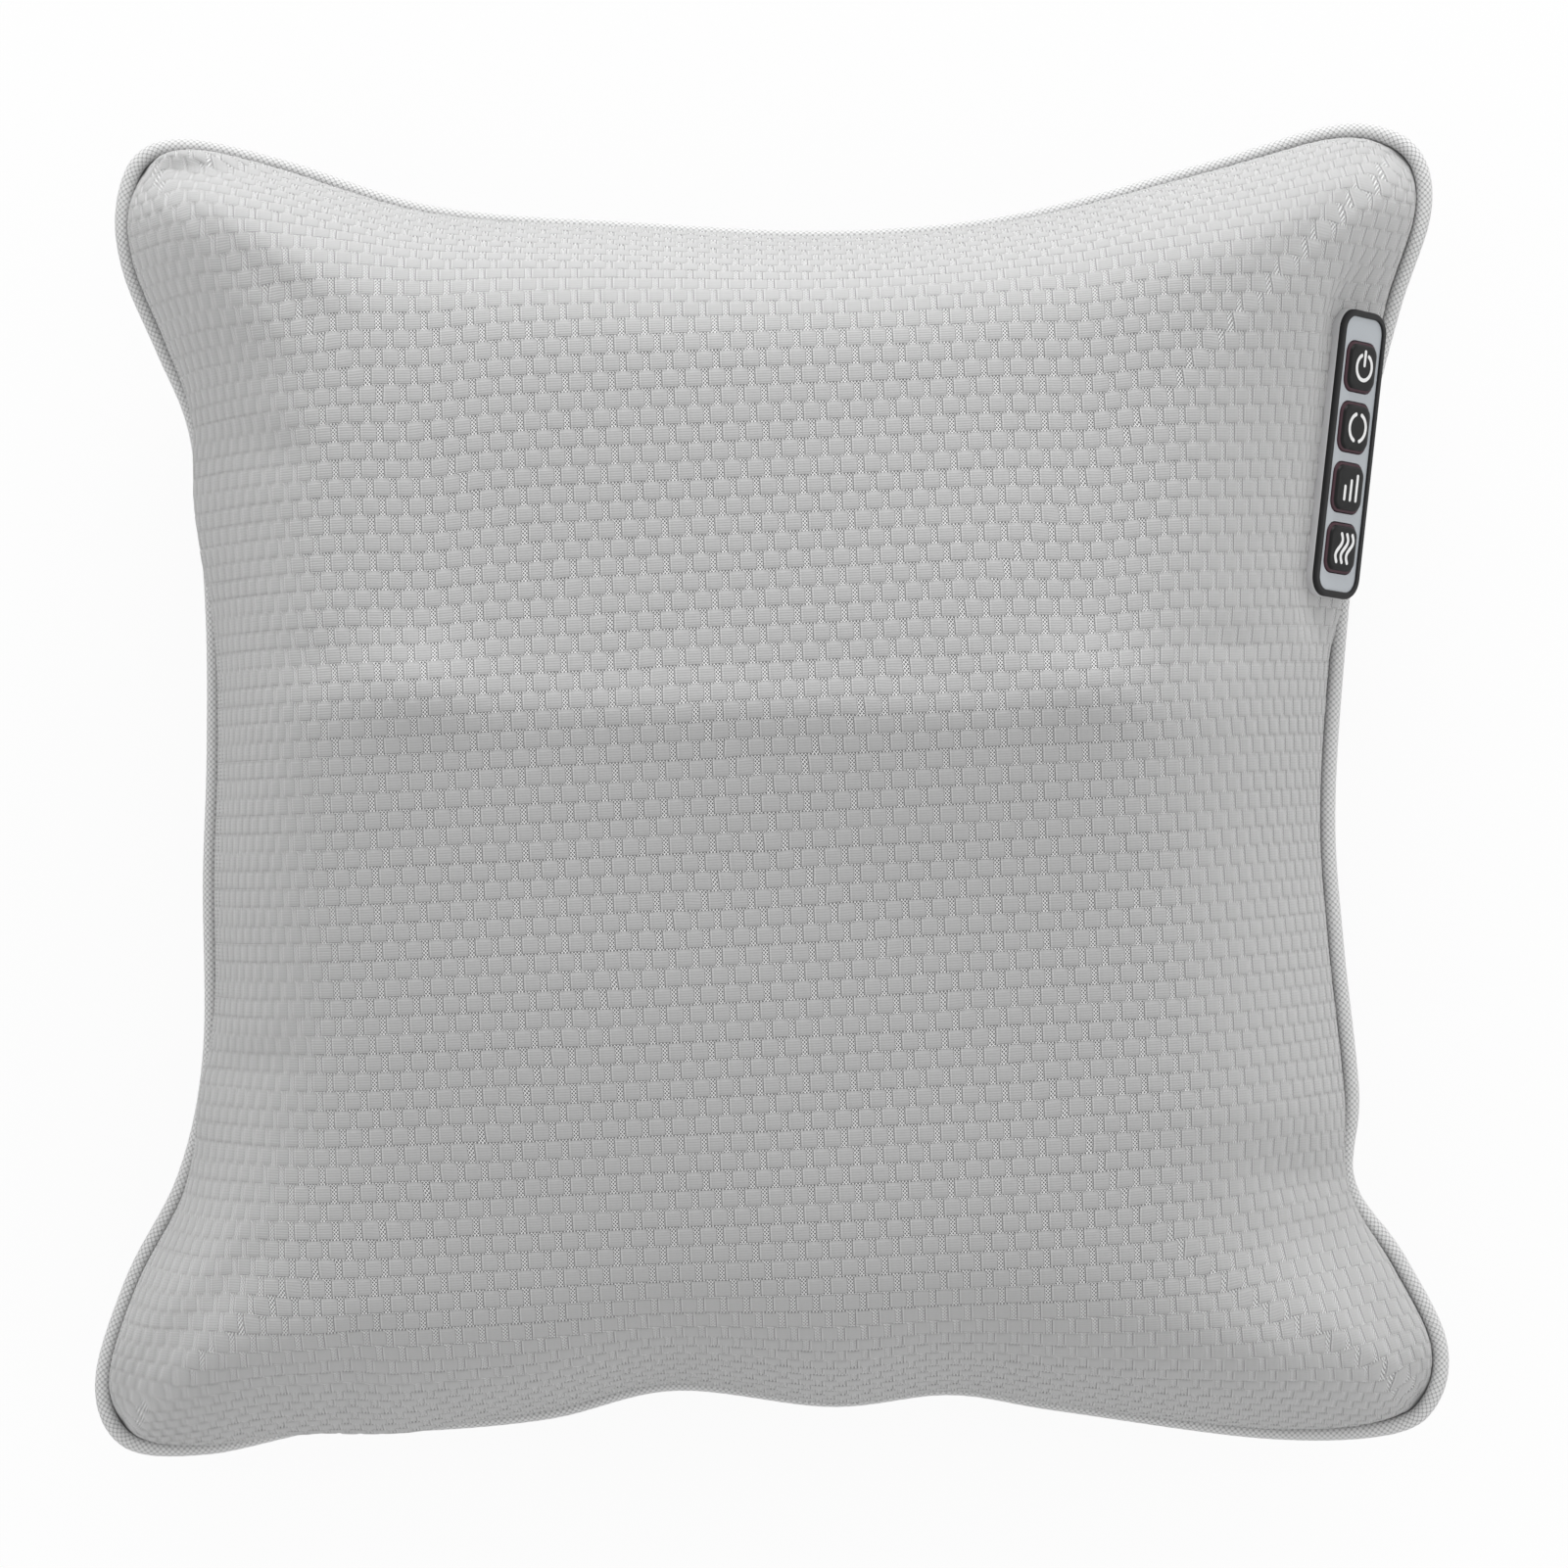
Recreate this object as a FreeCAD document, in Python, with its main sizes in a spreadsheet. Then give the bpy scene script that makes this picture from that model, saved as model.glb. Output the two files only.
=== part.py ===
import FreeCAD, Part
import math
import os
import re
import Sketcher
from FreeCAD import Placement, Rotation, Vector

# Square shiatsu massage cushion, lying on its back.
# Millimetres. +Z is up out of the massaging face, +Y points to the top edge and +X to the control pad.
# The origin is on the resting face, under the middle of the cushion.

os.makedirs("parts", exist_ok=True)
doc = FreeCAD.newDocument("MassageCushion")

# ---------------------------------------------------------------- driving dimensions

SIZES = [
    ("running_gap", 0.3, "gap between soft pieces and what they surround"),
    ("fit_gap", 0.05, "radial gap of a shaft in its bush"),
    ("cut_through", 60.0, "length of a tool that cuts right through"),
    # fabric covers
    ("cover_wall", 2.5, "thickness of padded cover fabric"),
    ("seam_z", 40.0, "height of the sewn seam"),
    ("front_rise", 82.0, "crown of the massaging face above the seam"),
    ("back_drop", 44.0, "depth of the back bowl if it were not flattened"),
    ("crest_y", 22.0, "height of the crest between the two humps"),
    ("side_waist", 137.6, "half width of the cover between its corners"),
    ("top_waist", 136.6, "cover edge above the middle"),
    ("bottom_waist", 148.0, "cover edge below the middle"),
    ("side_neck_top", 60.0, "where the side starts to flare to the top corner"),
    ("side_neck_bottom", 72.0, "where the side starts to flare to the bottom corner"),
    ("top_neck", 58.0, "where the top edge starts to flare"),
    ("bottom_neck", 45.0, "where the bottom edge starts to flare"),
    ("side_flare_top", 15.0, "degrees"),
    ("side_flare_bottom", 22.0, "degrees"),
    ("top_flare", 16.0, "degrees"),
    ("bottom_flare", 7.0, "degrees"),
    ("corner_radius", 14.0, "radius of a cover corner at the seam"),
    ("neck_radius", 120.0, "radius where an edge starts to flare"),
    ("piping_radius", 2.1, "radius of the piping cord in its fabric"),
    # soft filling
    ("foam_inset", 7.0, "from the cover's outer face to the foam"),
    ("foam_clearance", 2.0, "foam kept clear of the pad and the inlet"),
    ("pad_room_depth", 8.0, "foam kept clear behind the pad"),
    ("lead_room_length", 50.0, "way through the foam for the pad's cable"),
    ("lead_room_height", 30.0, "way through the foam for the pad's cable"),
    ("lead_room_drop", 9.5, "way through the foam below the cable's exit"),
    ("back_foam_z", 4.5, "underside of the back foam sheet"),
    ("back_foam_thickness", 3.7, "back foam sheet"),
    ("back_foam_width", 190.0, "back foam sheet"),
    ("back_foam_depth", 180.0, "back foam sheet"),
    # zip in the back cover
    ("zip_y", -85.0, "zip line"),
    ("zip_length", 150.0, "length of the zip opening"),
    ("zip_slot", 7.0, "width of the opening between the cover edges"),
    ("tape_width", 14.0, "one side of the zip tape"),
    ("tape_thickness", 0.5, "zip tape"),
    ("tape_end", 4.0, "tape beyond each end of the opening"),
    ("coil_end", 1.0, "coils short of each end of the opening"),
    ("coil_gap", 1.4, "between the two coils"),
    ("coil_width", 1.5, "one coil"),
    ("coil_z", 2.0, "underside of the coils"),
    ("coil_height", 1.5, "coils"),
    ("slider_length", 9.0, "zip slider"),
    ("slider_width", 6.0, "zip slider"),
    ("slider_plate", 0.5, "thickness of a slider plate"),
    ("slider_post", 1.0, "width of the slider's wedge"),
    ("wedge_length", 3.0, "the slider's wedge"),
    ("slider_rest", 2.0, "closed slider from the end of the opening"),
    ("pull_length", 22.0, "zip pull"),
    ("pull_width", 3.6, "zip pull"),
    ("pull_thickness", 0.7, "zip pull"),
    ("pull_pin_x", 2.0, "eye pin of the zip pull from the middle of the slider"),
    ("pull_gap", 0.1, "between the slider and its pull"),
    # drive housing
    ("housing_width", 208.0, "outside"),
    ("housing_depth", 116.0, "outside"),
    ("housing_corner", 20.0, "outside corner radius"),
    ("housing_wall", 2.5, "wall, floor and lid"),
    ("housing_height", 35.0, "base shell"),
    ("lead_exit_z", 33.5, "where the pad's cable leaves the housing"),
    ("slot_room", 0.5, "around a cable in its slot"),
    ("slot_height", 5.0, "cable slots of the housing"),
    ("cradle_wall", 3.0, "plastic beside the motor and the end bush"),
    ("pin_cover", 1.0, "plastic left over the end of a pin or shaft"),
    ("rail_inset", 4.0, "board rail from the edge of the driver board"),
    ("lid_thickness", 3.0, "lid"),
    ("post_width", 8.0, "square screw post"),
    ("post_inset", 12.0, "screw post from the outside wall"),
    ("screw_radius", 1.5, "case screw shank"),
    ("screw_head_radius", 3.0, "case screw head"),
    ("screw_head_height", 2.0, "case screw head"),
    ("screw_length", 14.0, "case screw shank"),
    # gear train
    ("gear_module", 1.0, "all gears"),
    ("wheel_teeth", 36, "worm wheel"),
    ("pinion_teeth", 14, "pinion moulded on the worm wheel"),
    ("output_teeth", 56, "output gear"),
    ("gear_backlash", 0.4, "along the pitch line"),
    ("rotor_x", 52.0, "half distance between the two output shafts"),
    ("worm_z", 27.9, "height of the worm's axis"),
    ("worm_pitch_radius", 5.0, "worm"),
    ("worm_length", 18.8, "threaded part of the worm"),
    ("wheel_thickness", 8.0, "worm wheel"),
    ("pinion_height", 9.5, "pinion above the worm wheel"),
    ("output_thickness", 6.5, "output gear"),
    ("output_gear_gap", 1.5, "output gear above the worm wheel"),
    ("pin_radius", 2.5, "idler pin"),
    ("shaft_radius", 4.0, "output shaft"),
    ("bush_wall", 2.0, "output bush"),
    ("boss_wall", 2.0, "boss around a bush or pin"),
    ("boss_height", 9.0, "boss in which an output shaft's foot turns"),
    ("worm_shaft_radius", 2.0, "motor shaft"),
    ("end_bush_radius", 4.0, "bush at the free end of the motor shaft"),
    ("end_bush_length", 5.0, "bush at the free end of the motor shaft"),
    ("end_bush_gap", 2.0, "between the worm and its end bush"),
    ("motor_radius", 14.0, "motor can"),
    ("motor_length", 36.0, "motor can"),
    ("motor_gap", 10.0, "between the worm and the motor"),
    ("shaft_in_motor", 8.0, "motor shaft inside the can"),
    ("shaft_end_room", 0.5, "end bush beyond the motor shaft"),
    ("motor_cap_step", 1.0, "end cap smaller than the can"),
    ("motor_nose_radius", 5.0, "bearing nose of the motor"),
    ("motor_nose_length", 2.5, "bearing nose of the motor"),
    ("motor_cap_length", 4.0, "plastic end cap of the motor"),
    ("motor_strap_width", 10.0, "steel strap over the motor"),
    ("motor_strap_thickness", 1.0, "steel strap over the motor"),
    # rotors and heads
    ("rotor_z", 52.0, "underside of the rotor arm"),
    ("rotor_thickness", 8.0, "rotor arm"),
    ("rotor_hub_radius", 14.0, "rotor arm"),
    ("rotor_bar_width", 21.0, "rotor arm between hub and heads"),
    ("head_orbit", 28.0, "head centre from the output shaft"),
    ("head_radius", 20.0, "massage head at its widest"),
    ("head_foot_radius", 15.0, "foot of a massage head"),
    ("outer_head_height", 44.0, "tall head"),
    ("inner_head_height", 40.0, "short head"),
    ("head_top_radius", 4.8, "flat on top of a massage head"),
    ("rotor_screw_radius", 6.0, "head of the screw that holds the rotor"),
    ("rotor_screw_height", 3.0, "head of the screw that holds the rotor"),
    # electrics
    ("board_thickness", 1.6, "circuit boards"),
    ("board_inset_x", 33.0, "centre of the motor driver board from the housing's side"),
    ("board_inset_y", 26.0, "centre of the motor driver board from the housing's upper side"),
    ("drive_board_width", 30.0, "motor driver board"),
    ("drive_board_depth", 44.0, "motor driver board"),
    ("board_post_height", 3.0, "posts under the driver board"),
    ("chip_width", 10.0, "motor driver chip"),
    ("chip_depth", 8.0, "motor driver chip"),
    ("chip_height", 3.0, "motor driver chip"),
    ("capacitor_radius", 4.0, "storage capacitor"),
    ("capacitor_height", 9.0, "storage capacitor"),
    ("lamp_inset", 8.0, "centre of the warming lamp from the housing's upper side"),
    ("lamp_pitch", 9.0, "between lamps"),
    ("lamp_lead_inset", 3.0, "cable from the end of the lamp board"),
    ("lamp_width", 34.0, "warming lamp board"),
    ("lamp_depth", 12.0, "warming lamp board"),
    ("lamp_radius", 2.5, "infrared lamp"),
    ("lamp_height", 5.0, "infrared lamp"),
    ("window_wall", 1.2, "lamp window"),
    ("window_height", 9.0, "lamp window"),
    ("window_gap", 0.2, "between the lamp board and its window"),
    ("lead_width", 6.0, "flat internal cables"),
    ("pad_lead_shift", 4.0, "cable of the control pad above the driver board's middle"),
    ("lead_thickness", 1.2, "flat internal cables"),
    # control pad, in its own frame: long side along its own y, its own z out of the fabric
    ("pad_x", 141.6, "middle of the pad's seat"),
    ("pad_y", 84.0, "middle of the pad's seat"),
    ("pad_z", 54.0, "middle of the pad's seat"),
    ("pad_lean", -6.3, "degrees, top end towards the side"),
    ("pad_tilt", 50.0, "degrees, face towards the side"),
    ("pad_length", 72.0, "bezel"),
    ("pad_width", 19.4, "bezel"),
    ("pad_corner", 5.5, "bezel"),
    ("pad_height", 4.0, "bezel above the fabric"),
    ("pad_rim", 1.9, "dark rim around the face"),
    ("face_sink", 0.5, "face plate below the rim"),
    ("pad_skirt", 4.5, "part of the bezel sunk behind the fabric"),
    ("pad_skirt_inset", 1.0, "the sunk part is smaller than the bezel by this"),
    ("pad_wall", 1.2, "wall of the bezel"),
    ("clamp_width", 22.0, "frame that clamps the pad behind the fabric"),
    ("clamp_length", 74.0, "frame that clamps the pad behind the fabric"),
    ("clamp_thickness", 1.5, "frame that clamps the pad behind the fabric"),
    ("clamp_room", 20.0, "free depth behind the clamp frame"),
    ("pad_face", 1.4, "thickness of the face plate"),
    ("key_size", 12.4, "square keys"),
    ("key_corner", 3.0, "keys"),
    ("key_pitch", 15.1, "between keys"),
    ("key_shift", -0.8, "middle of the row of keys along the pad"),
    ("key_proud", 1.2, "key above the face plate"),
    ("key_flange", 0.9, "lip behind the face plate"),
    ("key_flange_height", 0.8, "lip behind the face plate"),
    ("key_gap", 0.2, "between a key and its window"),
    ("key_travel", 0.8, "how far a key can be pressed"),
    ("dome_height", 1.2, "rubber spring under a key"),
    ("board_gap", 0.1, "key board in the skirt"),
    ("dome_radius", 3.0, "rubber spring under a key"),
    # power inlet
    ("jack_y", 40.0, "inlet along the side"),
    ("jack_z", 26.0, "inlet above the resting face"),
    ("jack_reach", 28.0, "outer face of the inlet from the housing's side"),
    ("jack_collar_radius", 8.0, "inlet collar"),
    ("jack_collar_length", 5.0, "inlet collar"),
    ("jack_body_radius", 5.5, "inlet body"),
    ("jack_body_length", 13.0, "inlet body"),
    ("jack_bore_radius", 3.2, "socket"),
    ("jack_bore_depth", 9.5, "socket"),
    ("jack_pin_radius", 1.05, "centre pin"),
    ("jack_pin_length", 8.5, "centre pin"),
    ("jack_nut_radius", 8.0, "ring nut inside the cover"),
    ("jack_nut_length", 2.5, "ring nut inside the cover"),
]

sheet = doc.addObject("Spreadsheet::Sheet", "Sizes")
for row, (alias, value, note) in enumerate(SIZES, start=1):
    sheet.set(f"A{row}", alias)
    sheet.set(f"B{row}", str(value))
    sheet.setAlias(f"B{row}", alias)
    sheet.set(f"C{row}", note)
doc.recompute()
ALIASES = [alias for alias, value, note in SIZES]
WORD = re.compile(r"\b(" + "|".join(sorted(ALIASES, key=len, reverse=True)) + r")\b")


def tie(text):
    """An expression in which every size word points at its cell."""
    return WORD.sub(r"Sizes.\1", text)


def size(text):
    """The number that an expression of size words gives now."""
    return float(sheet.evalExpression(tie(text)))


def bind(obj, prop, text):
    obj.setExpression(prop, tie(text))


# ---------------------------------------------------------------- small makers

def place(obj, spot=("0", "0", "0"), rotation=None):
    if rotation is not None:
        obj.Placement = Placement(Vector(), rotation)
    for axis, text in zip("xyz", spot):
        bind(obj, f"Placement.Base.{axis}", text)
    return obj


ALONG = {"z": Rotation(), "y": Rotation(Vector(1, 0, 0), -90), "x": Rotation(Vector(0, 1, 0), 90)}


def cylinder(name, radius, length, spot=("0", "0", "0"), along="z"):
    piece = doc.addObject("Part::Cylinder", name)
    bind(piece, "Radius", radius)
    bind(piece, "Height", length)
    return place(piece, spot, ALONG[along])


def prism(name, sides, radius, length, spot=("0", "0", "0"), along="z"):
    piece = doc.addObject("Part::Prism", name)
    piece.Polygon = sides
    bind(piece, "Circumradius", radius)
    bind(piece, "Height", length)
    return place(piece, spot, ALONG[along])


def box(name, width, depth, height, middle=("0", "0"), low="0"):
    """A block centred on middle in X and Y, standing on low."""
    piece = doc.addObject("Part::Box", name)
    bind(piece, "Length", width)
    bind(piece, "Width", depth)
    bind(piece, "Height", height)
    return place(piece, (f"{middle[0]} - ({width}) / 2", f"{middle[1]} - ({depth}) / 2", low))


def fuse(name, *pieces):
    joined = doc.addObject("Part::MultiFuse", name)
    joined.Shapes = list(pieces)
    return joined


def group(name, *pieces):
    """Loose copies that share one node."""
    kept = doc.addObject("Part::Compound", name)
    kept.Links = list(pieces)
    return kept


def cut(name, base, *tools):
    for number, tool in enumerate(tools, start=1):
        step = doc.addObject("Part::Cut", name if number == len(tools) else f"{name}Cut{number}")
        step.Base = base
        step.Tool = tool
        base = step
    return base


def body_plane(body, role):
    return next(f for f in body.Origin.OriginFeatures if f.Role == role)


def sketch_on(body, name, height="0"):
    sketch = body.newObject("Sketcher::SketchObject", name)
    sketch.AttachmentSupport = [(body_plane(body, "XY_Plane"), "")]
    sketch.MapMode = "FlatFace"
    bind(sketch, "AttachmentOffset.Base.z", height)
    return sketch


def draw_block(sketch, width, depth, middle=("0", "0")):
    """A rectangle whose sides and place follow the sheet."""
    w, d, x, y = (size(text) for text in (width, depth, *middle))
    corners = [(x - w / 2, y - d / 2), (x + w / 2, y - d / 2), (x + w / 2, y + d / 2), (x - w / 2, y + d / 2)]
    ids = []
    for first, second in zip(corners, corners[1:] + corners[:1]):
        ids.append(sketch.addGeometry(Part.LineSegment(Vector(*first, 0), Vector(*second, 0)), False))
    for first, second in zip(ids, ids[1:] + ids[:1]):
        sketch.addConstraint(Sketcher.Constraint("Coincident", first, 2, second, 1))
    for line, kind in zip(ids, ("Horizontal", "Vertical", "Horizontal", "Vertical")):
        sketch.addConstraint(Sketcher.Constraint(kind, line))
    low_x = f"({middle[0]}) - ({width}) / 2"
    low_y = f"({middle[1]}) - ({depth}) / 2"
    for kind, start, end, text in (
            ("DistanceX", (ids[0], 1), (ids[0], 2), width),
            ("DistanceY", (ids[1], 1), (ids[1], 2), depth),
            ("DistanceX", (-1, 1), (ids[0], 1), low_x),
            ("DistanceY", (-1, 1), (ids[0], 1), low_y)):
        number = sketch.addConstraint(Sketcher.Constraint(kind, *start, *end, size(text)))
        bind(sketch, f"Constraints[{number}]", text)


def draw_circle(sketch, radius, x, y):
    ring = sketch.addGeometry(Part.Circle(Vector(size(x), size(y), 0), Vector(0, 0, 1), size(radius)), False)
    number = sketch.addConstraint(Sketcher.Constraint("Radius", ring, size(radius)))
    bind(sketch, f"Constraints[{number}]", radius)
    for kind, text in (("DistanceX", x), ("DistanceY", y)):
        number = sketch.addConstraint(Sketcher.Constraint(kind, -1, 1, ring, 3, size(text)))
        bind(sketch, f"Constraints[{number}]", text)


def pad_up(body, name, sketch, length):
    feature = body.newObject("PartDesign::Pad", name)
    feature.Profile = (sketch, [""])
    bind(feature, "Length", length)
    return feature


def upright_edges(shape, reach_x, reach_y, middle=(0.0, 0.0)):
    """Names of the upright edges at the four corners of a block."""
    names = []
    for number, edge in enumerate(shape.Edges, start=1):
        low, high = edge.BoundBox.ZMin, edge.BoundBox.ZMax
        spot = edge.CenterOfMass
        at_corner = (abs(abs(spot.x - middle[0]) - reach_x) < 0.01
                     and abs(abs(spot.y - middle[1]) - reach_y) < 0.01)
        if high - low > 0.3 and at_corner:
            names.append(f"Edge{number}")
    return names


def round_corners(body, name, base, radius, reach_x, reach_y, middle=("0", "0")):
    doc.recompute()
    feature = body.newObject("PartDesign::Fillet", name)
    spot = (size(middle[0]), size(middle[1]))
    feature.Base = (base, upright_edges(base.Shape, size(reach_x), size(reach_y), spot))
    bind(feature, "Radius", radius)
    return feature


NODES = []


def node(obj, label):
    obj.Label = label
    NODES.append(obj)
    return obj


# ---------------------------------------------------------------- the cushion's shape

def rounded_loop(corners, height, corner_steps):
    """Points around a loop of (x, y, radius, share of the steps) corners with tangent rounds."""
    count = len(corners)
    points = []
    for i, (x, y, radius, share) in enumerate(corners):
        here = Vector(x, y, height)
        before = Vector(corners[i - 1][0], corners[i - 1][1], height) - here
        after = Vector(corners[(i + 1) % count][0], corners[(i + 1) % count][1], height) - here
        room = 0.46 * min(before.Length, after.Length)
        before.normalize()
        after.normalize()
        half = before.getAngle(after) / 2
        run = min(radius / math.tan(half), room)
        middle = here + (before + after).normalize() * (run / math.cos(half))
        start, end = here + before * run - middle, here + after * run - middle
        turn = start.getAngle(end)
        axis = start.cross(end).normalize()
        steps = max(1, round(corner_steps * share))
        for step in range(steps + 1):
            points.append(middle + Rotation(axis, math.degrees(turn) * step / steps).multVec(start))
    return points


def flare_corner(side_x, side_y, side_angle, edge_x, edge_y, edge_angle):
    """Where the flaring side and the flaring edge of one quadrant meet, all as positive numbers."""
    s = math.tan(math.radians(side_angle))
    e = math.tan(math.radians(edge_angle))
    x = (side_x + s * (edge_y - e * edge_x - side_y)) / (1 - s * e)
    return x, edge_y + e * (x - edge_x)


NECK_SHARE = 0.4
FRONT_LEVELS = (0.0, 0.14, 0.32, 0.52, 0.7, 0.83, 0.92, 0.98)
FRONT_FOAM_LEVELS = (0.0, 0.14, 0.32, 0.72, 0.94)
FRONT_FULLNESS = (14.0, 11.0, 19.0, 6.0)
SIDE_FALL = 0.06
EDGE_FALL = 0.2
BACK_SHARES = (1.0, 0.66, 0.34, 0.12, 0.0)
BACK_FOAM_SHARES = (1.0, 0.72, 0.42)
BACK_FULLNESS = (8.0, 8.0, 8.0, 8.0)


def seam_corners(inset):
    """Corners of the seam as (x, y, radius, share of the steps), from the right side's upper neck."""
    corners = []
    for side, upper in ((1, True), (-1, True), (-1, False), (1, False)):
        up = 1 if upper else -1
        part = "top" if upper else "bottom"
        side_x, edge_y = size("side_waist") - inset, size(f"{part}_waist") - inset
        neck_y, neck_x = size(f"side_neck_{part}"), size(f"{part}_neck")
        x, y = flare_corner(side_x, neck_y, size(f"side_flare_{part}"), neck_x, edge_y, size(f"{part}_flare"))
        three = [(side * side_x, up * neck_y, size("neck_radius"), NECK_SHARE),
                 (side * x, up * y, size("corner_radius") - inset, 1.0),
                 (side * neck_x, up * edge_y, size("neck_radius"), NECK_SHARE)]
        corners += three if (side > 0) == upper else three[::-1]
    return corners


def gap_to(spot, line):
    """Distance in plan from a point to a broken line."""
    gaps = []
    for start, end in zip(line, line[1:]):
        run = end - start
        share = min(max((spot - start).dot(run) / run.dot(run), 0.0), 1.0)
        gaps.append((start + run * share - spot).Length)
    return min(gaps)


def contour(level, height, inset, middle_y, fullness, side_fall, edge_fall, steps):
    """The cover's outline where it stands at a level, 0 at the seam and 1 over (0, middle_y).
    The surface rises from the top, left, bottom and right of the seam by the four fullnesses, and
    falls evenly from its middle to the sides and edges."""
    corners = seam_corners(inset)
    if level == 0.0:
        return rounded_loop(corners, height, steps)
    loop = [Vector(x, y, 0) for x, y, radius, share in corners]
    loop += loop[:2]
    half = size("side_waist") - inset
    upper = size("top_waist") - inset - middle_y
    lower = size("bottom_waist") - inset + middle_y
    lines = (loop[1:5], loop[4:8], loop[7:11], loop[10:14])
    sides = list(zip(lines, (upper, half, lower, half), fullness))
    middle = Vector(0, middle_y, 0)
    ring = []
    for foot in rounded_loop(corners, 0.0, steps):
        low, high = 0.0, 1.0
        for _ in range(24):
            share = (low + high) / 2
            spot = middle + (foot - middle) * share
            crown = 1 - edge_fall * abs(spot.y - middle_y) / (upper if spot.y > middle_y else lower)
            crown *= 1 - side_fall * abs(spot.x) / half
            for line, room, full in sides:
                crown *= 1 - max(1 - gap_to(spot, line) / room, 0.0) ** full
            low, high = (share, high) if crown > level else (low, share)
        spot = middle + (foot - middle) * low
        ring.append(Vector(spot.x, spot.y, height))
    return ring


def front_ring(level, inset, drop, steps=5):
    """Front contour at a level, for a surface that lies inset and drop inside the cover's face."""
    height = size("seam_z") + (size("front_rise") - drop) * level
    return contour(level, height, inset, size("crest_y"), FRONT_FULLNESS, SIDE_FALL, EDGE_FALL, steps)


def back_ring(share, inset, drop, steps=5):
    """Back contour at a share of the seam's height above the floor plane."""
    height = drop + (size("seam_z") - drop) * share
    level = (size("seam_z") - drop) * (1 - share) / (size("back_drop") - drop)
    return contour(level, height, inset, 0.0, BACK_FULLNESS, 0.0, 0.0, steps)


def side_faces(rings):
    """Triangles between rings that have the same number of points."""
    faces = []
    count = len(rings[0])
    for lower, upper in zip(rings, rings[1:]):
        for i in range(count):
            k = (i + 1) % count
            for three in ((lower[i], lower[k], upper[k]), (lower[i], upper[k], upper[i])):
                if (three[1] - three[0]).cross(three[2] - three[0]).Length > 1e-6:
                    faces.append(Part.Face(Part.makePolygon([*three, three[0]])))
    return faces


def flat_face(ring):
    return Part.Face(Part.makePolygon(ring + ring[:1]))


def solid_of(faces):
    shell = Part.makeShell(faces)
    shell.sewShape()
    solid = Part.makeSolid(shell)
    if solid.Volume < 0:
        solid.reverse()
    return solid


def stack(rings):
    """Closed solid through a stack of level rings."""
    return solid_of(side_faces(rings) + [flat_face(rings[0]), flat_face(rings[-1])])


def feature(name, shape):
    piece = doc.addObject("Part::Feature", name)
    piece.Shape = shape
    return piece


PAD_SEAT = "placement(vector(pad_x; pad_y; pad_z); rotation(pad_lean; pad_tilt; 0))"


def on_pad(obj):
    """Sets a piece drawn in the pad's own frame onto the pad's seat."""
    bind(obj, "Placement", PAD_SEAT)
    return obj


def rounded_block(name, width, length, corner, height, low="0", middle=("0", "0")):
    """A PartDesign block with four rounded upright edges."""
    body = doc.addObject("PartDesign::Body", name)
    sketch = sketch_on(body, f"{name}Outline", low)
    draw_block(sketch, width, length, middle)
    doc.recompute()
    block = pad_up(body, f"{name}Pad", sketch, height)
    round_corners(body, f"{name}Corners", block, corner, f"({width}) / 2", f"({length}) / 2", middle)
    return body


def pad_opening(name, grow, low, high):
    """The pad's envelope, with room around it, to cut the cover and the foam."""
    return on_pad(rounded_block(name, f"pad_width + 2 * ({grow})", f"pad_length + 2 * ({grow})",
                                f"pad_corner + {grow}", f"({high}) - ({low})", low))


def front_cover():
    """Sewn front fabric with its padding: a crowned shell, open at the seam, with the pad's window."""
    wall = size("cover_wall")
    outer = [front_ring(level, 0.0, 0.0) for level in FRONT_LEVELS]
    inner = [front_ring(level, wall, wall) for level in FRONT_LEVELS]
    face = feature("FrontFabric", stack(outer).cut(stack(inner)))
    above = pad_opening("PadRecess", "running_gap", "0 - running_gap", "cut_through")
    window = box("PadWindowBlock", "pad_width - 2 * pad_skirt_inset + 2 * running_gap",
                 "pad_length - 2 * pad_skirt_inset + 2 * running_gap", "2 * clamp_room",
                 ("0", "0"), "0 - clamp_room")
    clamped = box("PadClampBlock", "clamp_width + 2 * running_gap", "clamp_length + 2 * running_gap",
                  "clamp_room", ("0", "0"), "clamp_thickness + running_gap - pad_skirt - clamp_room")
    window = on_pad(group("PadWindow", window))
    clamped = on_pad(group("PadClampRoom", clamped))
    return node(cut("FrontCover", face, above, window, clamped), "front_cover")


def back_cover():
    """Sewn back fabric: a shallow bowl with a flat floor, a zip opening and the inlet's hole."""
    wall = size("cover_wall")
    outer = [back_ring(share, 0.0, 0.0) for share in BACK_SHARES]
    inner = [back_ring(share, wall, wall) for share in BACK_SHARES]
    face = feature("BackFabric", stack(outer).cut(stack(inner)))
    slot = box("ZipSlot", "zip_length", "zip_slot", "2 * cover_wall", ("0", "zip_y"), "0 - cover_wall / 2")
    hole = cylinder("InletHole", "jack_collar_radius + running_gap", "cut_through",
                    (f"{JACK_FACE} - cut_through / 2", "jack_y", "jack_z"), "x")
    return node(cut("BackCover", face, slot, hole), "back_cover")


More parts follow.
